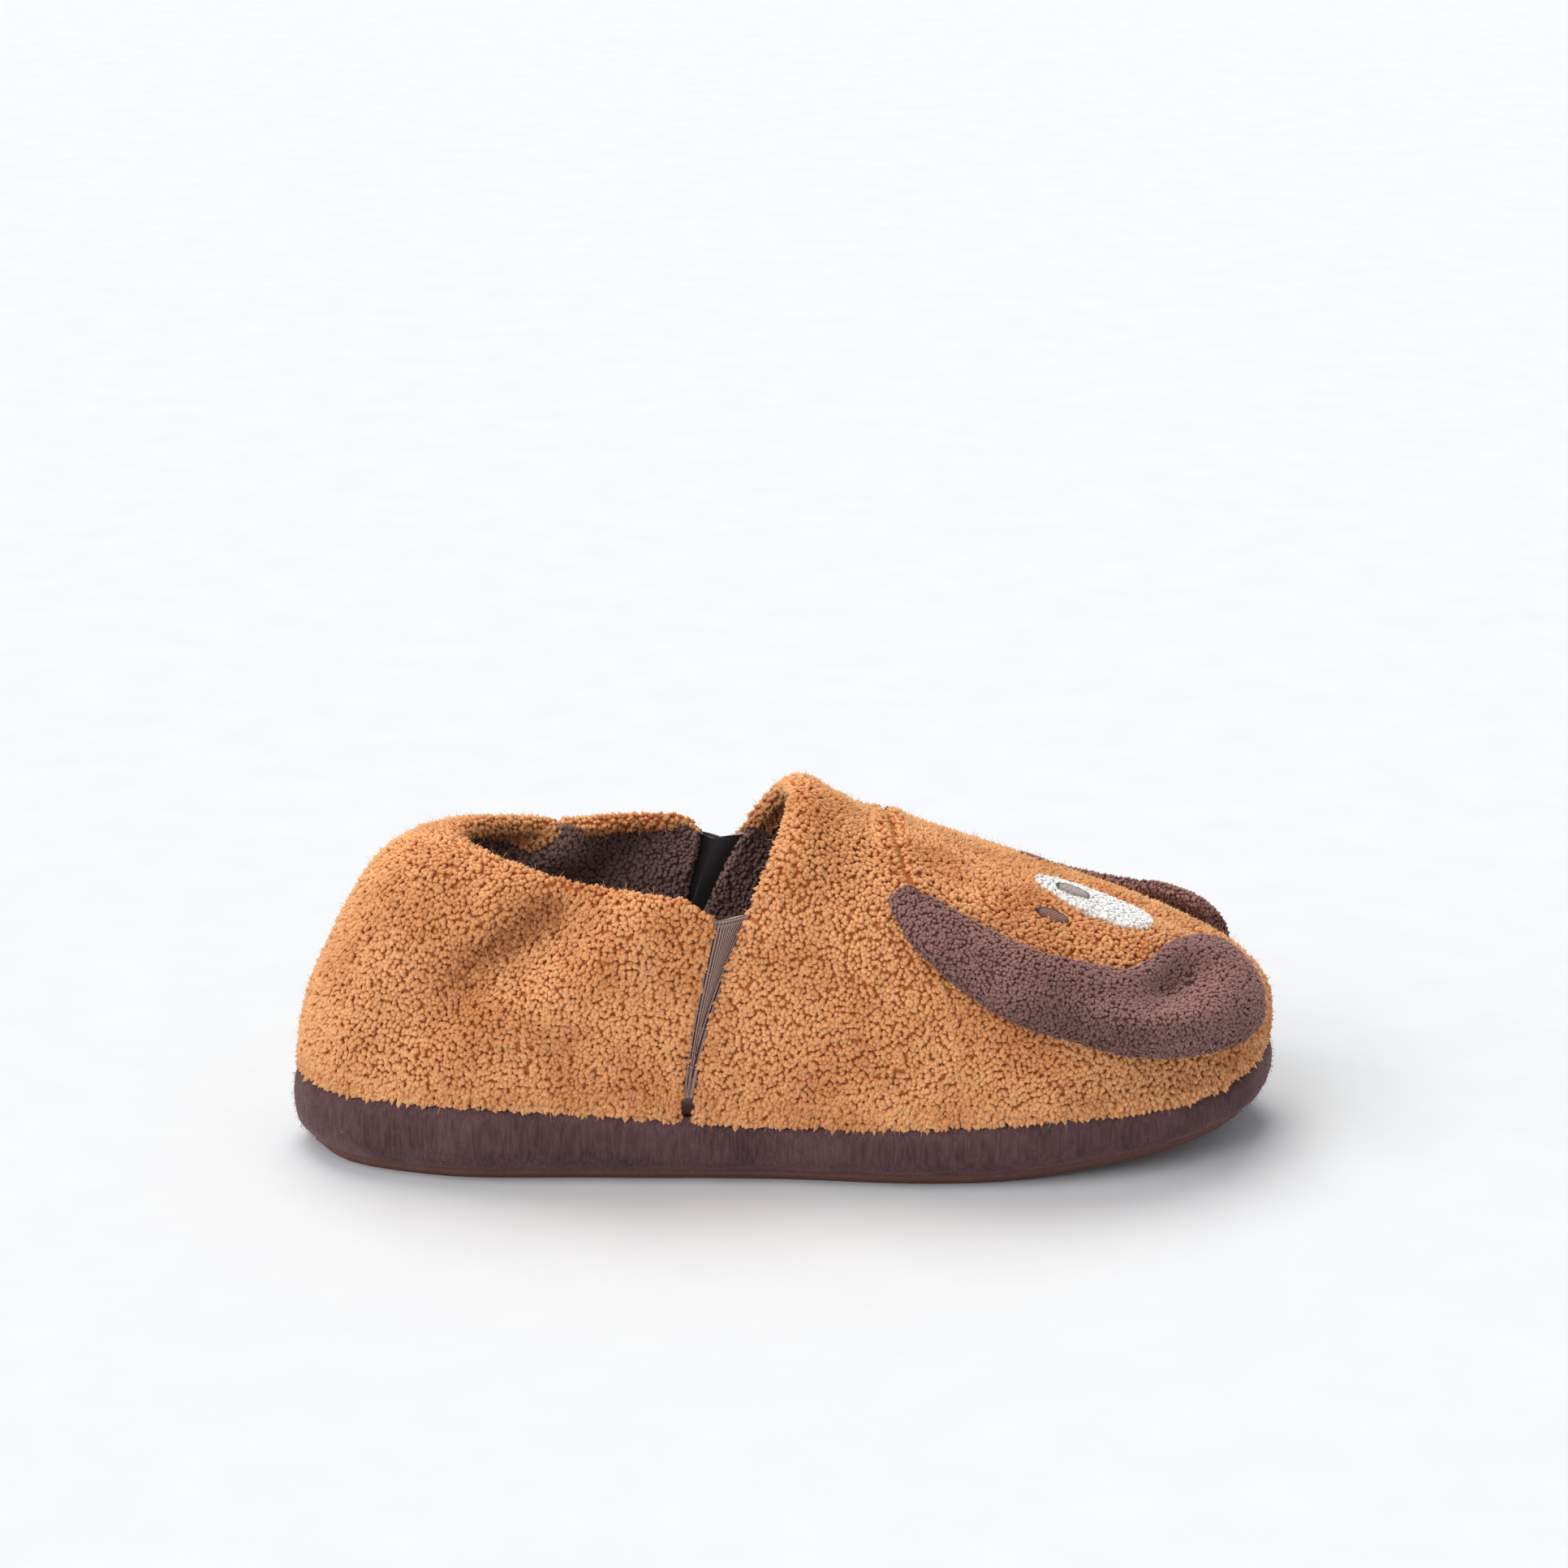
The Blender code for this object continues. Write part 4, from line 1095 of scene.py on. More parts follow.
@dataclass
class UpperShell:
    """Plush upper: heel panel, instep panel and face panel, each with a rolled edge, and the fleece lining.

    Attributes:
        form: form of the upper.
        drawn: how far free edges are drawn back, so that the pile ends on the true edge.
        sunk: depth of the ground below the pile's face.
        roll: how far the plush turns inside, at the heel and at the front of the collar.
        pile: tufts of the plush.
        fringe: longer tufts that hang over the sole's seam.
        fibres: loose fibres that stand out of the pile.
        lining_pile: tufts of the lining.
        bare_spots: ovals under a patch, as middle and half sizes on the floor plan, where no pile grows.
    """

    form: UpperForm
    drawn: float = 0.0015
    sunk: float = 0.0010
    roll: tuple[float, float] = (0.0046, 0.0002)
    pile: Pile = Pile(pitch=0.00080, length=0.00140, width=0.00136, lean=0.55, ruffle=0.40)
    fringe: Pile = Pile(pitch=0.00100, length=0.0019, width=0.0014, lean=0.95, ruffle=0.55)
    fibres: Fuzz = Fuzz(pitch=0.0016, length=0.0024, width=0.00010, lean=0.6)
    lining_pile: Pile = Pile(pitch=0.00084, length=0.0008, width=0.0013, lean=0.8, ruffle=0.6)
    bare_spots: list[tuple[float, float, float, float]] = field(default_factory=list)

    def _inside(self, edge_points: Array, inner: Skin, depth: Array) -> tuple[Skin, Skin]:
        """Splits the inner face into the plush roll along the edge, as deep as given, and the lining."""
        away = np.full(len(inner.points), np.inf)
        for part in np.array_split(edge_points, 12):
            reach = np.linalg.norm(inner.points[:, None] - part[None], axis=2).min(axis=1)
            away = np.minimum(away, reach)
        return inner.kept(away < depth), inner.kept(away > depth - 0.0012)

    def _by_gore(self, points: Array) -> Array:
        """Which points lie against the elastic: low ones within 9 mm of the slit's line."""
        slit = (RIDGE[0][0] - 0.5) * self.form.sizes.length
        line = slit + (points[:, 2] - 0.013) * 0.24
        beside = (np.abs(points[:, 0] - line) < 0.009) & (np.abs(points[:, 1]) > 0.012)
        return (points[:, 2] < 0.0580) & beside

    def _rim(self, edge: Array, normals: Array, away: Array) -> Skin:
        """Half-round edge between the ground and the inner face, carried along the edge."""
        half = (self.form.sizes.wall - self.sunk) / 2
        angle = np.linspace(0, math.pi, RIM_ROWS)[:, None, None]
        middle = edge - normals * half
        grid = middle + normals * half * np.cos(angle) + away * half * 0.85 * np.sin(angle)
        skin = Skin.from_grid(grid)
        outward = skin.points - np.tile(middle, (RIM_ROWS, 1))
        if np.sum(skin.normals * outward) < 0:
            skin = skin.turned()
        return skin

    def _brushed(self, skin: Skin) -> Skin:
        """The skin with its pile brushed down and a little to the heel."""
        skin.flow = np.tile((-0.25, 0.0, -1.0), (len(skin.points), 1))
        return skin

    def heel_panel(self) -> list[Skin]:
        """Builds the heel panel with its rolled collar, and returns the skins of the lining behind it."""
        s = self.form.sizes
        grid = self.form.heel_grid(100, 64, self.drawn)
        outer = Skin.from_grid(grid, outward=np.array([-0.05, 0, 0.02]))
        normals = outer.normals.reshape(grid.shape)
        ground = self._brushed(outer.shifted(-self.sunk))
        inner = self._brushed(outer.shifted(-s.wall).turned())
        pulled = ground.points.reshape(grid.shape)
        edge = np.concatenate([pulled[0], pulled[1:, -1], pulled[-1, -2::-1]])
        before = np.concatenate([pulled[1], pulled[1:, -2], pulled[-2, -2::-1]])
        edge_normals = np.concatenate([normals[0], normals[1:, -1], normals[-1, -2::-1]])
        away = edge - before
        away = unit(away - edge_normals * np.sum(away * edge_normals, axis=1, keepdims=True))
        rim = self._rim(edge, edge_normals, away)
        depth = self.roll[0] + (self.roll[1] - self.roll[0]) * smooth_step(-0.053, -0.040, inner.points[:, 0])
        depth[self._by_gore(inner.points)] = -1
        roll, lining = self._inside(edge - edge_normals * (s.wall - self.sunk), inner, depth)
        parts = MeshParts()
        for k, skin in enumerate((ground, rim, roll)):
            growing = self._clear(skin, k == 1)
            parts.add_skin(growing)
            count = self.pile.grow(growing, parts, 20 + k, self._fold_shade_and_light)
            self.fibres.grow(growing, parts, 30 + k)
            if k == 0:
                row = np.arange(len(skin.points)) % grid.shape[1]
                self.fringe.grow(skin.kept(row <= 2), parts, 35)
            log.info("heel panel, skin %d: %d tufts", k, count)
        piece = parts.build("heel_panel", self.finish)
        declare(piece, "upper")
        return [lining, self._behind(rim)]

    @property
    def finish(self) -> bpy.types.Material:
        """Caramel plush, made once."""
        found = bpy.data.materials.get(CARAMEL.name)
        return found or CARAMEL.build()

    def front_panels(self) -> list[Skin]:
        """Builds the instep panel and the face panel, and returns the skins of the lining behind them."""
        s = self.form.sizes
        seam = self.form.seam_share()
        first = self.drawn / 0.115
        spans = {"instep_panel": (first, seam + 0.010, 46), "face_panel": (seam, 1.0, 74)}
        linings = []
        for number, (name, (low, high, columns)) in enumerate(spans.items()):
            grid = self.form.front_grid(low, high, columns, 62)
            outer = Skin.from_grid(grid, outward=np.array([0.04, 0, 0.01]))
            normals = outer.normals.reshape(grid.shape)
            if high == 1.0:
                normals[-1] = unit(normals[-1] + normals[-1, ::-1])
                outer.normals = normals.reshape(-1, 3)
            ground = self._brushed(outer.shifted(-self.sunk))
            inner = self._brushed(outer.shifted(-s.wall).turned())
            skins = [ground]
            if number == 0:
                pulled = ground.points.reshape(grid.shape)
                away = pulled[0] - pulled[1]
                away = unit(away - normals[0] * np.sum(away * normals[0], axis=1, keepdims=True))
                skins.append(self._rim(pulled[0], normals[0], away))
                linings.append(self._behind(skins[-1]))
                depth = np.full(len(inner.points), 0.0040)
                depth[self._by_gore(inner.points)] = -1
                roll, inner = self._inside(pulled[0] - normals[0] * (s.wall - self.sunk), inner, depth)
                skins.append(roll)
            parts = MeshParts()
            for k, skin in enumerate(skins):
                if k == 0:
                    column, row = np.divmod(np.arange(len(skin.points)), grid.shape[1])
                    rise = 1 - np.abs(row / 62 - 1)
                    by_seam = (column >= columns - 1) if number == 0 else (column <= 0)
                    by_seam &= rise > s.seam_rise - 0.08
                    # The ground along the cross seam, bare of pile, takes the root colour: painted shade in
                    # the seam's groove
                    parts.add_skin(skin, np.where(by_seam, 0.0, 0.2))
                    self.fringe.grow(skin.kept(rise <= 2 / 62), parts, 65 + number)
                    growing = skin.kept(~by_seam)
                else:
                    growing = self._clear(skin, k == 1)
                    parts.add_skin(growing)
                growing = growing.kept(self._free(growing.points))
                count = self.pile.grow(growing, parts, 40 + 10 * number + k, self._toe_shade)
                self.fibres.grow(growing, parts, 60 + 10 * number + k)
                log.info("%s, skin %d: %d tufts", name, k, count)
            piece = parts.build(name, self.finish)
            declare(piece, "upper")
            linings.append(inner)
        return linings

    def _clear(self, skin: Skin, is_rim: bool) -> Skin:
        """The plush part of a rim, which stops part way round beside the elastic; any other skin whole."""
        if not is_rim:
            return skin
        turn = np.repeat(np.arange(RIM_ROWS), len(skin.points) // RIM_ROWS)
        return skin.kept((turn < 3) | ~self._by_gore(skin.points))

    def _behind(self, rim: Skin) -> Skin:
        """The part of a rim beside the elastic that the lining covers."""
        turn = np.repeat(np.arange(RIM_ROWS), len(rim.points) // RIM_ROWS)
        return rim.kept((turn >= 1) & self._by_gore(rim.points))

    def _fold_shade_and_light(self, points: Array, normals: Array) -> Array:
        """Painted shade and light: darker pile in the troughs of the folds, lighter on their ridges, most on
        the outer side.
        """
        share = np.where(points[:, 1] < 0, 1.0, 0.4)
        depth = self.form.fold_depth(points) / 0.0050
        return np.clip(np.sign(depth) * np.abs(depth) ** 1.6 * 1.3, -1.4, 0.4) * share

    @staticmethod
    def _toe_shade(points: Array, normals: Array) -> Array:
        """Painted shade: darker pile low on the toe."""
        return -1.1 * smooth_step(0.035, 0.085, points[:, 0]) * smooth_step(0.036, 0.018, points[:, 2])

    def _free(self, points: Array) -> Array:
        """Where the pile is not covered by a patch: outside the ovals of the bare spots, seen from above."""
        free = np.ones(len(points), bool)
        for x, y, half_x, half_y in self.bare_spots:
            free &= ((points[:, 0] - x) / half_x) ** 2 + ((points[:, 1] - y) / half_y) ** 2 > 1
        return free

    def lining(self, skins: Sequence[Skin]) -> None:
        """Fleece lining inside the whole shell."""
        parts = MeshParts()
        for k, skin in enumerate(skins):
            parts.add_skin(skin)
            shown = (skin.points[:, 2] > 0.030) & (skin.points[:, 0] < 0.012)
            if not shown[skin.faces].all(axis=1).any():
                continue
            count = self.lining_pile.grow(skin.kept(shown), parts, 70 + k)
            log.info("lining, skin %d: %d tufts", k, count)
        piece = parts.build("fleece_lining", lining_finish().build())
        declare(piece, "upper")


CARAMEL = PlushFinish(
    "Coral-fleece plush, caramel", "#CE7F43", "#E79A60", "#F6C38C", "#C26D34", 0.32, "#FFE2BC"
)


@dataclass
class ElasticGores:
    """Ribbed elastic behind the slit on each side.

    Attributes:
        form: form of the upper.
        pitch: width of one rib of the knit.
        hem: height of the folded hem at the top.
        top: height of the top edge.
        thickness: thickness of the band.
    """

    form: UpperForm
    pitch: float = 0.00075
    hem: float = 0.0016
    top: Mapping[Side, float] = field(default_factory=lambda: {Side.OUTER: 0.0549, Side.INNER: 0.0568})
    thickness: float = 0.0011

    def _rib_points(self, side: Side, part: str, share: float, height: Array) -> Array:
        """Points within the wall, between plush and lining, on one rib of the heel or front part."""
        surface: Callable[[Side, Array, Array], Array] = self.form.heel if part == "heel" else self.form.front
        rise = np.linspace(0, 1, 400)
        column = np.full(400, share)
        curve = surface(side, column, rise)
        beside = surface(side, column + (1e-3 if part == "front" else -1e-3), rise)
        normal = unit(np.cross(beside - curve, np.gradient(curve, axis=0)))
        normal *= np.where(normal[:, 1] * side.value > 0, -1.0, 1.0)[:, None]
        back = curve + normal * (self.form.sizes.wall * 0.67)
        return np.column_stack([np.interp(height, curve[:, 2], back[:, k]) for k in range(3)])

    def gore(self, side: Side, node: str) -> None:
        """One gore: four ribs of the shell bridged by cubic curves, with half-round ribs along the knit."""
        s = self.form.sizes
        low = float(self.form.outline.seam(np.array([(RIDGE[0][0] - 0.5) * s.length]))[0]) + 0.0045
        top = self.top[side]
        hem_rows = top - self.hem * np.linspace(0.85, 0, 10)
        height = np.concatenate([np.linspace(low, top - self.hem, 46), hem_rows])
        reach = self.form.heel_reach(side), abs(self.form.outline.tip - self.form.slit[side])
        ribs = [("heel", 1 - 0.005 / reach[0]), ("heel", 1.0), ("front", 0.0), ("front", 0.005 / reach[1])]
        lines = np.stack([self._rib_points(side, part, share, height) for part, share in ribs], axis=1)
        width = np.linalg.norm(lines[-1, 1:] - lines[-1, :-1], axis=1)
        knots = np.concatenate([[0], np.cumsum(width)])
        across = np.arange(0, knots[-1], self.pitch / 6)
        share = across / knots[-1]
        spots = knots / knots[-1]
        sheet = np.stack(
            [np.stack([smooth_between(spots, row[:, k], share) for k in range(3)], axis=1) for row in lines]
        )
        wave = np.abs(np.sin(math.pi * across / self.pitch)) ** 0.6
        in_hem = height > top - self.hem
        relief = np.where(in_hem[:, None], 0.75, wave[None])
        rows = np.abs(np.sin(2 * math.pi * (height - top + self.hem) / self.hem))
        # Painted shade and light of the knit: dark gaps, light rib tops, and light stitch rows in the hem
        tint = np.where(in_hem[:, None], 0.25 + 0.7 * rows[:, None] * wave[None], wave[None] ** 2.2)
        front = Skin.from_grid(sheet)
        out = 1.0 if np.sum(front.normals[:, 1]) * side.value > 0 else -1.0
        normals = front.normals.reshape(sheet.shape) * out
        rounded = np.where(in_hem, 0.00025 * np.sin(math.pi * (height - top + self.hem) / self.hem), 0)
        face = sheet + normals * (self.thickness * 0.25 + 0.00026 * relief + rounded[:, None])[:, :, None]
        back = sheet - normals * (self.thickness * 0.25)
        loop = np.concatenate([face, back[:, ::-1]], axis=1)
        skin = Skin.from_grid(loop, around=True)
        if np.sum(skin.normals[:, 1][: len(across)]) * side.value < 0:
            skin = skin.turned()
        triangles = np.vstack([skin.faces[:, [0, 1, 2]], skin.faces[:, [0, 2, 3]]])
        shade = np.concatenate([np.clip(tint, 0, 1), np.zeros_like(relief)], axis=1).ravel()
        parts = MeshParts()
        parts.add(skin.points, triangles, shade, np.full(len(shade), 0.5))
        lid = Skin.from_grid(np.stack([face[-1], back[-1]]))
        parts.add_skin(lid if lid.normals[:, 2].sum() > 0 else lid.turned(), 0.7)
        piece = parts.build("elastic_" + side.name.lower(), self.finish)
        declare(piece, node)

    @property
    def finish(self) -> bpy.types.Material:
        """Knitted elastic, made once."""
        name = "Ribbed knitted elastic, cocoa"
        return bpy.data.materials.get(name) or ThreadFinish(name, "#140C0C", "#C9A69A").build()


@dataclass
class Ears:
    """Padded plush ears that hang from the cross seam along the sides of the toe.

    Attributes:
        drape: the upper's face, which they lie on.
        width: full width that the tables share.
        thickness: full thickness that the tables share.
        clearance: gap to the upper.
        sunk: depth of the ground below the pile's face.
        hollow: depth of the lobe's hollow.
        crest: height of the ridge below the hollow.
        pile: tufts of the ears.
    """

    drape: Drape
    width: float = 0.0250
    thickness: float = 0.0056
    clearance: float = 0.0007
    sunk: float = 0.0008
    hollow: float = 0.0046
    crest: float = 0.0018
    pile: Pile = Pile(pitch=0.00062, length=0.00095, width=0.00104, lean=0.7, ruffle=0.30)

    @staticmethod
    def _bump(at: Array, upper: Array, middle: float, length: float, rise: float, width: float) -> Array:
        """A smooth bell on the ear: round a share of its length, and round a height across it."""
        along = np.exp(-(((at - middle) / length) ** 2))[:, None]
        return along * np.exp(-(((upper - rise) / width) ** 2))

    def ear(self, side: Side, table: Table, node: str) -> None:
        """One ear: flattened rings along a curve, laid on the upper.

        A ring's half width goes as the cosine and its swell as the sine to the power 0.75. On the outer ear
        one smooth bell presses a hollow into the upper half of the lobe and another raises a crest below it.
        """
        sizes = SIZES
        stations, around = 76, 56
        share = np.linspace(0, 1, len(table))
        at = 1 - (1 - np.linspace(0, 1, stations)) ** 1.15
        rows = np.array(table)
        along, out, up, wide, thick = (smooth_between(share, rows[:, k], at) for k in range(5))
        middle = np.column_stack([
            (along - 0.5) * sizes.length, side.value * out * sizes.ball_width, up * sizes.instep_height
        ])
        spine, normal = self.drape.onto(middle)
        ahead = unit(np.gradient(spine, axis=0))
        across = unit(np.cross(normal, ahead)) * side.value
        angle = np.linspace(0, 2 * math.pi, around, endpoint=False)
        half = wide * self.width / 2
        spots = spine[:, None] + across[:, None] * (half[:, None] * np.cos(angle))[:, :, None]
        feet, away = self.drape.onto(spots.reshape(-1, 3))
        depth = (thick * self.thickness)[:, None]
        swell = np.sign(np.sin(angle)) * np.abs(np.sin(angle)) ** 0.75 * depth / 2
        height = self.clearance + depth / 2 + swell
        if side is Side.OUTER:
            upper = -np.cos(angle)
            bell = self._bump(at, upper, 0.68, 0.11, 0.30, 0.34)
            crest = self._bump(at, upper, 0.60, 0.22, -0.25, 0.30)
            face = np.clip(np.sin(angle), 0, 1) ** 0.5
            height = height + (self.crest * crest - self.hollow * bell) * face
        points = feet + away * height.reshape(-1, 1)
        grid = points.reshape(stations, around, 3)
        ends = [np.tile(grid[k].mean(axis=0), (around, 1)) for k in (0, -1)]
        tips = [grid[0] * 0.5 + ends[0] * 0.5, grid[-1] * 0.5 + ends[1] * 0.5]
        skin = Skin.from_grid(np.stack([ends[0], tips[0], *grid, tips[1], ends[1]]), around=True)
        centres = grid.mean(axis=1)
        centre = np.repeat(np.concatenate([centres[[0, 0]], centres, centres[[-1, -1]]]), around, axis=0)
        if np.sum(skin.normals * (skin.points - centre)) < 0:
            skin = skin.turned()
        skin.flow = np.repeat(np.concatenate([ahead[[0, 0]], ahead, ahead[[-1, -1]]]), around, axis=0)
        skin.flow = skin.flow + np.array([0, 0, -0.5])
        skin = skin.shifted(-self.sunk)
        parts = MeshParts()
        parts.add_skin(skin, 0.25)
        count = self.pile.grow(skin, parts, 90 + side.value, self._ear_shade_and_light)
        log.info("%s: %d tufts", node, count)
        piece = parts.build(node + "_plush", self.finish)
        declare(piece, node)

    @staticmethod
    def _ear_shade_and_light(points: Array, normals: Array) -> Array:
        """Painted shade and light: darker pile where the ear's face turns down, lighter where it turns up."""
        return np.clip((normals[:, 2] - 0.36) * 2.0, -1.1, 0.8)

    @property
    def finish(self) -> bpy.types.Material:
        """Cocoa plush, made once."""
        name = "Coral-fleece plush, cocoa"
        made = PlushFinish(name, "#64443F", "#895F59", "#AF857D", "#6D4A45", 0.34, "#E8CFCB")
        return bpy.data.materials.get(name) or made.build()


@dataclass
class Face:
    """White muzzle patch with its nose, and an embroidered eye on each side.

    Attributes:
        drape: the upper's face.
        muzzle: middle of the muzzle, along and out, in metres.
        muzzle_size: its length and width.
        taper: how much narrower its heel end is.
        nose: middle of the nose.
        nose_size: its length and width.
        eyes: place of the eyes, along and out of their middle.
        eye_spacing: distance between the eyes.
        eye_size: length and width of an eye.
        pile: tufts of the muzzle.
    """

    drape: Drape
    muzzle: tuple[float, float] = ((0.807 - 0.5) * 0.200, -0.075 * 0.076)
    muzzle_size: tuple[float, float] = (0.0236, 0.0190)
    taper: float = 0.42
    nose: tuple[float, float] = ((0.783 - 0.5) * 0.200, -0.100 * 0.076)
    nose_size: tuple[float, float] = (0.0064, 0.0030)
    eyes: tuple[float, float] = ((0.758 - 0.5) * 0.200, -0.024 * 0.076)
    eye_spacing: float = 0.0326
    eye_size: tuple[float, float] = (0.0060, 0.0026)
    pile: Pile = Pile(pitch=0.00072, length=0.0006, width=0.0012, lean=0.8, ruffle=0.5)

    def pad(
        self, place: tuple[float, float], size: tuple[float, float], taper: float, lift: float, thick: float
    ) -> Skin:
        """A thin oval pad: rings round its middle, laid on the upper and crowned by 1 - r^4.

        Args:
            place: middle of the pad on the floor plan.
            size: length and width.
            taper: how much narrower the heel end is.
            lift: height of its underside above the upper.
            thick: thickness at its middle.

        Returns:
            The skin of the pad's upper face and edge.
        """
        grid_shape = (PAD_RINGS, PAD_STEPS, 3)
        turns = np.linspace(0, 2 * math.pi, PAD_STEPS, endpoint=False)
        ring, angle = np.meshgrid(np.linspace(0, 1, PAD_RINGS), turns, indexing="ij")
        narrowing = 1 + taper * (np.cos(angle) - 1) / 2
        half = np.stack([ring * np.cos(angle), ring * np.sin(angle) * narrowing], axis=-1)
        feet, normals = self.drape.below((half * size / 2).reshape(-1, 2) + place)
        height = lift + thick * (1 - 0.45 * ring**4)
        top = feet.reshape(grid_shape) + normals.reshape(grid_shape) * height[:, :, None]
        edge = feet.reshape(grid_shape)[-1] + normals.reshape(grid_shape)[-1] * (lift - 0.0008)
        skin = Skin.from_grid(np.concatenate([top, edge[None]]), around=True)
        return skin if skin.normals[PAD_STEPS * 4, 2] > 0 else skin.turned()

    def muzzle_patch(self) -> None:
        """Muzzle of short white plush."""
        skin = self.pad(self.muzzle, self.muzzle_size, self.taper, -0.0002, 0.0007)
        skin.flow = np.tile((0.4, -0.2, -0.6), (len(skin.points), 1))
        parts = MeshParts()
        parts.add_skin(skin, 0.6)
        self.pile.grow(skin, parts, 120)
        finish = PlushFinish("Short plush, white", "#F6F1EC", "#FDFAF7", "#FFFFFD", "#F6F2EE", 0.5)
        piece = parts.build("muzzle_patch", finish.build())
        declare(piece, "muzzle")

    def stitched(
        self,
        name: str,
        node: str,
        place: tuple[float, float],
        size: tuple[float, float],
        lift: float,
        finish: ThreadFinish,
    ) -> None:
        """A satin-stitched oval: threads 0.4 mm apart across a crowned pad, with a darker line on top.

        Args:
            name: name of the piece.
            node: solid that it stands for.
            place: its middle on the floor plan.
            size: length and width.
            lift: height above the upper.
            finish: thread, with the outline's colour as its gap.
        """
        skin = self.pad(place, size, 0.0, lift, 0.0007)
        ridge = np.abs(np.sin(math.pi * (skin.points[:, 0] - place[0]) / 0.0004))
        ring = np.append(np.repeat(np.linspace(0, 1, PAD_RINGS), PAD_STEPS), np.ones(PAD_STEPS))
        angle = np.tile(np.linspace(0, 2 * math.pi, PAD_STEPS, endpoint=False), PAD_RINGS + 1)
        # A dark edge, wider on one side; on the nose it is painted shadow between the stitches and the white
        # pile
        outline = smooth_step(0.66, 0.84, ring * (0.86 + 0.28 * np.sin(angle)))
        skin.points = skin.points + skin.normals * (0.00012 * ridge + 0.00015 * outline)[:, None]
        parts = MeshParts()
        triangles = np.vstack([skin.faces[:, [0, 1, 2]], skin.faces[:, [0, 2, 3]]])
        # Colour by height: darker between the threads as painted shade, and the gap colour along the dark
        # edge
        parts.add(skin.points, triangles, (1 - outline) * (0.6 + 0.4 * ridge), np.full(len(ridge), 0.5))
        piece = parts.build(name, bpy.data.materials.get(finish.name) or finish.build())
        declare(piece, node)


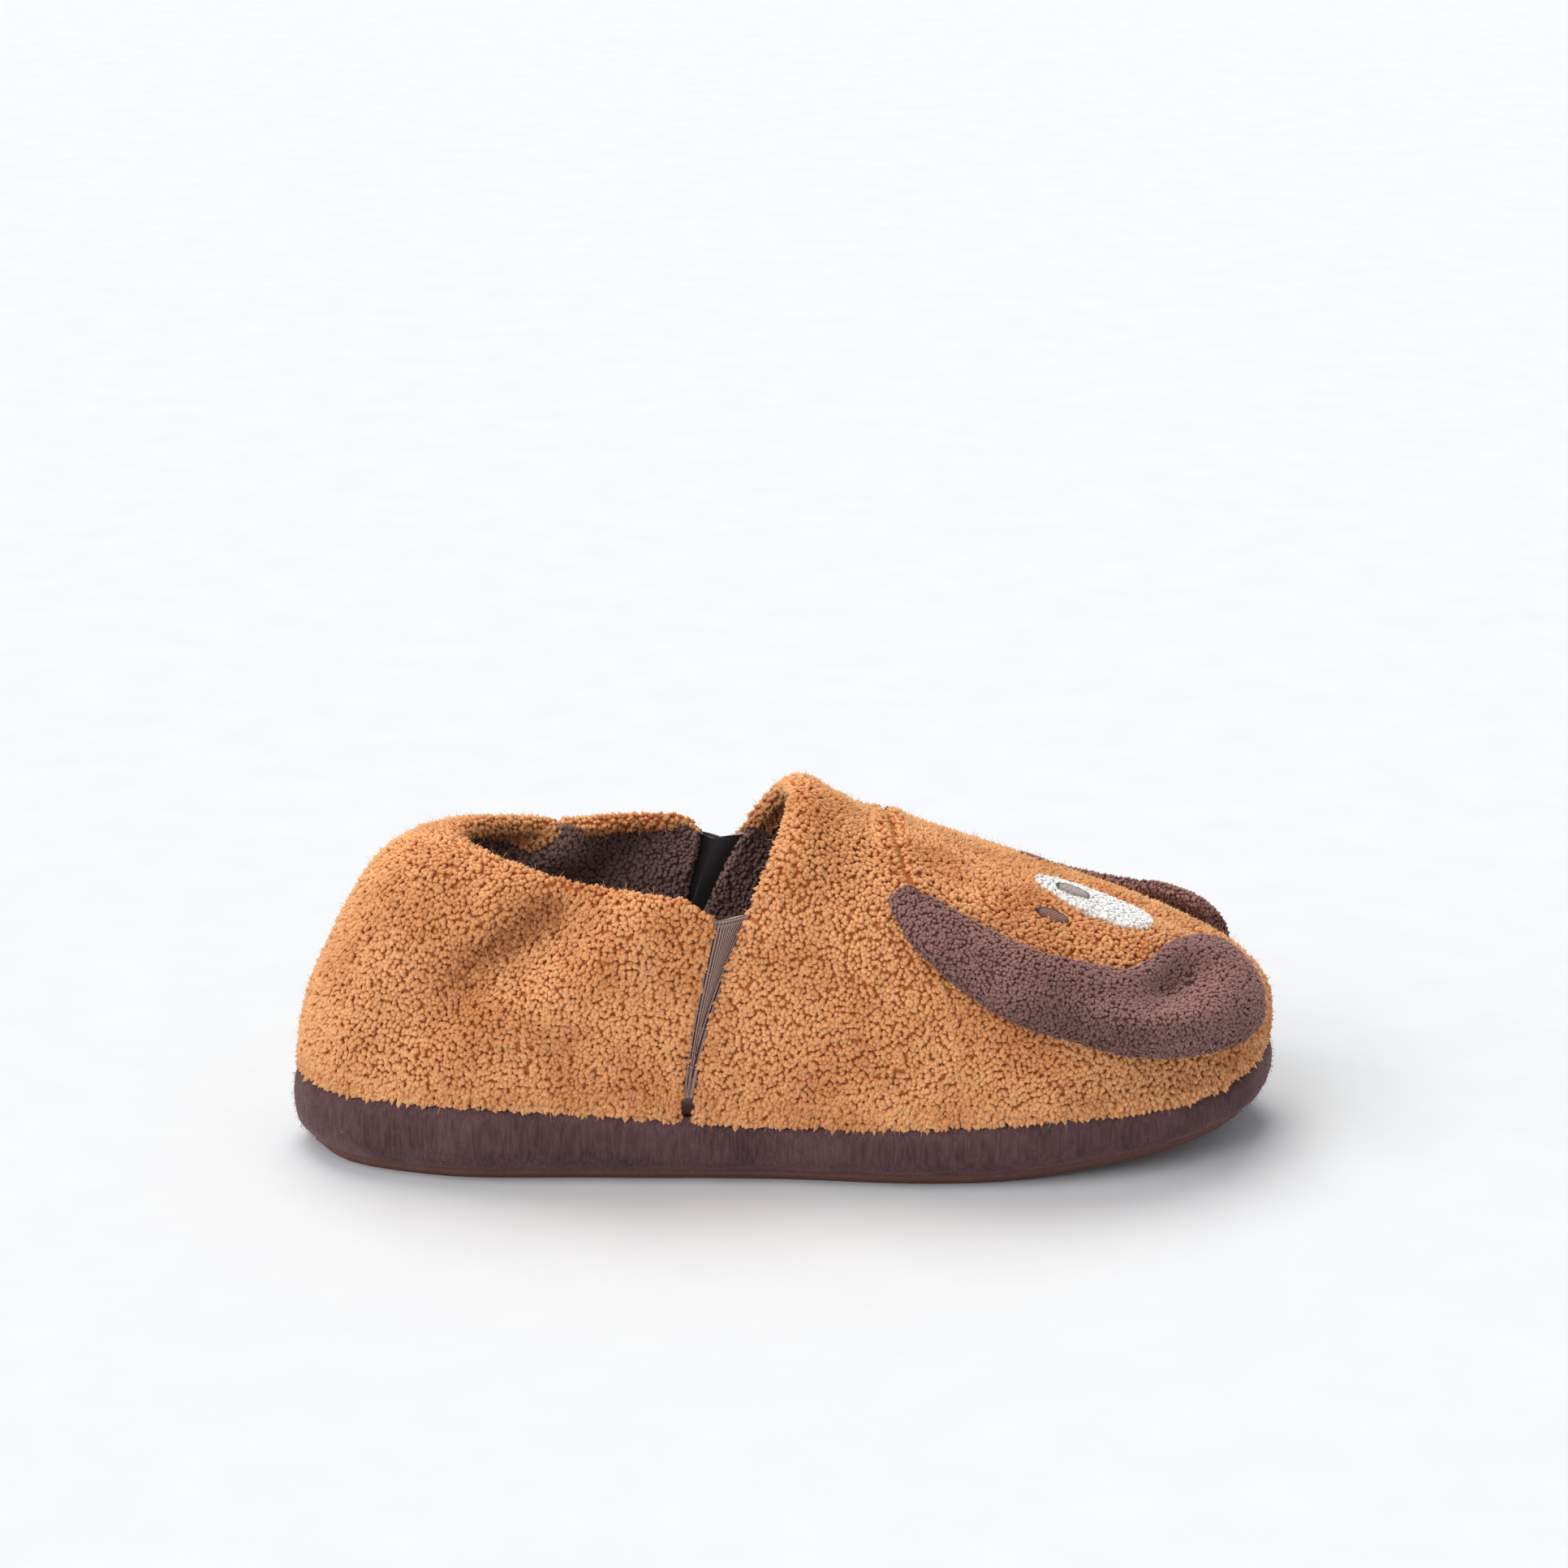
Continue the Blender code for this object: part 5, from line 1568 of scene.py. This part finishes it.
@dataclass
class Studio:
    """Pale sweep, soft lights and the camera.

    Attributes:
        target: point that the camera looks at.
        distance: distance of the camera.
        azimuth: angle round the slipper, in degrees.
        elevation: angle above the floor, in degrees.
    """

    target: tuple[float, float, float] = (-0.0006, 0.0, 0.0731)
    distance: float = 0.871
    azimuth: float = -3.5
    elevation: float = 17.0

    def camera(self) -> None:
        """Camera at the photograph's angle, with a 100 mm lens."""
        az, el = math.radians(self.azimuth), math.radians(self.elevation)
        way = Vector((math.sin(az) * math.cos(el), -math.cos(az) * math.cos(el), math.sin(el)))
        data = bpy.data.cameras.new("camera")
        data.lens, data.sensor_width, data.sensor_fit = 100, 36, "HORIZONTAL"
        obj = bpy.data.objects.new("camera", data)
        obj.location = Vector(self.target) + way * self.distance
        obj.rotation_euler = (-way).to_track_quat("-Z", "Y").to_euler()
        bpy.context.scene.collection.objects.link(obj)
        bpy.context.scene.camera = obj

    def sweep(self) -> None:
        """Paper sweep: a flat floor that curves up behind, and all round, far from the slipper."""
        across = np.linspace(-1, 1, 61)
        u, v = np.meshgrid(across, across, indexing="ij")
        reach = np.sqrt(u**2 + v**2)
        height = 2.5 * smooth_step(0.6, 1.3, reach) ** 1.2
        grid = np.stack([u * 6.0, v * 6.0, height], axis=-1)
        skin = Skin.from_grid(grid, outward=np.array([0, 0, -5.0]))
        parts = MeshParts()
        parts.add_skin(skin)
        material, tree, where = new_material("Matt white paper")
        colour = ramped(tree, noise(tree, where, 60.0, 4.0), [(0.3, "#E3E5E8"), (0.7, "#E6E8EA")])
        surfaced(tree, {"Roughness": 0.9, "Specular IOR Level": 0.1}, colour)
        parts.build("paper_sweep", material)

    def window(
        self, name: str, way: tuple[float, float, float], strength: float, angle: float, colour: str
    ) -> None:
        """Broad distant light, even over the whole floor.

        Args:
            name: name of the light.
            way: direction that it comes from.
            strength: its irradiance.
            angle: how broad it is, in degrees.
            colour: hex colour of its light.
        """
        data = bpy.data.lights.new(name, "SUN")
        data.energy, data.angle = strength, math.radians(angle)
        data.color = linear(colour)[:3]
        obj = bpy.data.objects.new(name, data)
        obj.rotation_euler = Vector(way).to_track_quat("Z", "Y").to_euler()
        bpy.context.scene.collection.objects.link(obj)

    def light(self) -> None:
        """Even white surroundings, a broad window above and one high in front on the left."""
        world = bpy.data.worlds.new("surroundings")
        world.use_nodes = True
        back = world.node_tree.nodes["Background"]
        back.inputs["Color"].default_value = linear("#F7FAFF")
        back.inputs["Strength"].default_value = 0.385
        bpy.context.scene.world = world
        bpy.context.scene.view_settings.view_transform = "Standard"
        self.window("window_above", (-0.10, 0.45, 1.0), 1.74, 40.0, "#FFFDF8")
        self.window("window_front", (-1.05, -0.65, 1.0), 1.62, 55.0, "#FFFFFF")


def main() -> None:
    """Builds the slipper's sub-assemblies in order and reports each."""
    logging.basicConfig(level=logging.INFO, format="%(message)s")
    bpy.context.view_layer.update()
    studio = Studio()
    studio.camera()
    outline = FootOutline(OUTLINE, SIZES)
    form = UpperForm(outline)
    nets = [
        Skin.from_grid(form.heel_grid(90, 60, 0.0), outward=np.array([-0.05, 0, 0.02])),
        Skin.from_grid(form.front_grid(0.0, 1.0, 130, 60), outward=np.array([0.04, 0, 0.01])),
    ]
    drape = Drape(nets)
    sole = SoleUnit(outline)
    sole.outsole(frame["nodes"])
    sole.padded_sole()
    sole.insole()
    log.info("sole unit built")
    face = Face(drape)
    half = (face.muzzle_size[0] / 2 * 0.9, face.muzzle_size[1] / 2 * 0.8)
    shell = UpperShell(form, bare_spots=[(*face.muzzle, *half)])
    linings = shell.heel_panel()
    linings += shell.front_panels()
    shell.lining(linings)
    log.info("upper built")
    gores = ElasticGores(form)
    gores.gore(Side.OUTER, "elastic_gore_outer")
    gores.gore(Side.INNER, "elastic_gore_inner")
    log.info("elastic built")
    ears = Ears(drape)
    ears.ear(Side.OUTER, EAR_OUTER, "ear_outer")
    ears.ear(Side.INNER, EAR_INNER, "ear_inner")
    face.muzzle_patch()
    nose_thread = ThreadFinish("Satin-stitched thread, taupe", "#33211F", "#B5A9A2", 0.3)
    eye_thread = ThreadFinish("Satin-stitched thread, dark brown", "#33201D", "#8E6257", 0.3)
    face.stitched("nose_stitches", "nose", face.nose, face.nose_size, 0.0008, nose_thread)
    for side, node in ((Side.OUTER, "eye_outer"), (Side.INNER, "eye_inner")):
        place = (face.eyes[0], face.eyes[1] + side.value * face.eye_spacing / 2)
        face.stitched(node + "_stitches", node, place, face.eye_size, -0.0003, eye_thread)
    log.info("ears and face built")
    studio.sweep()
    studio.light()


if __name__ == "__main__":
    main()
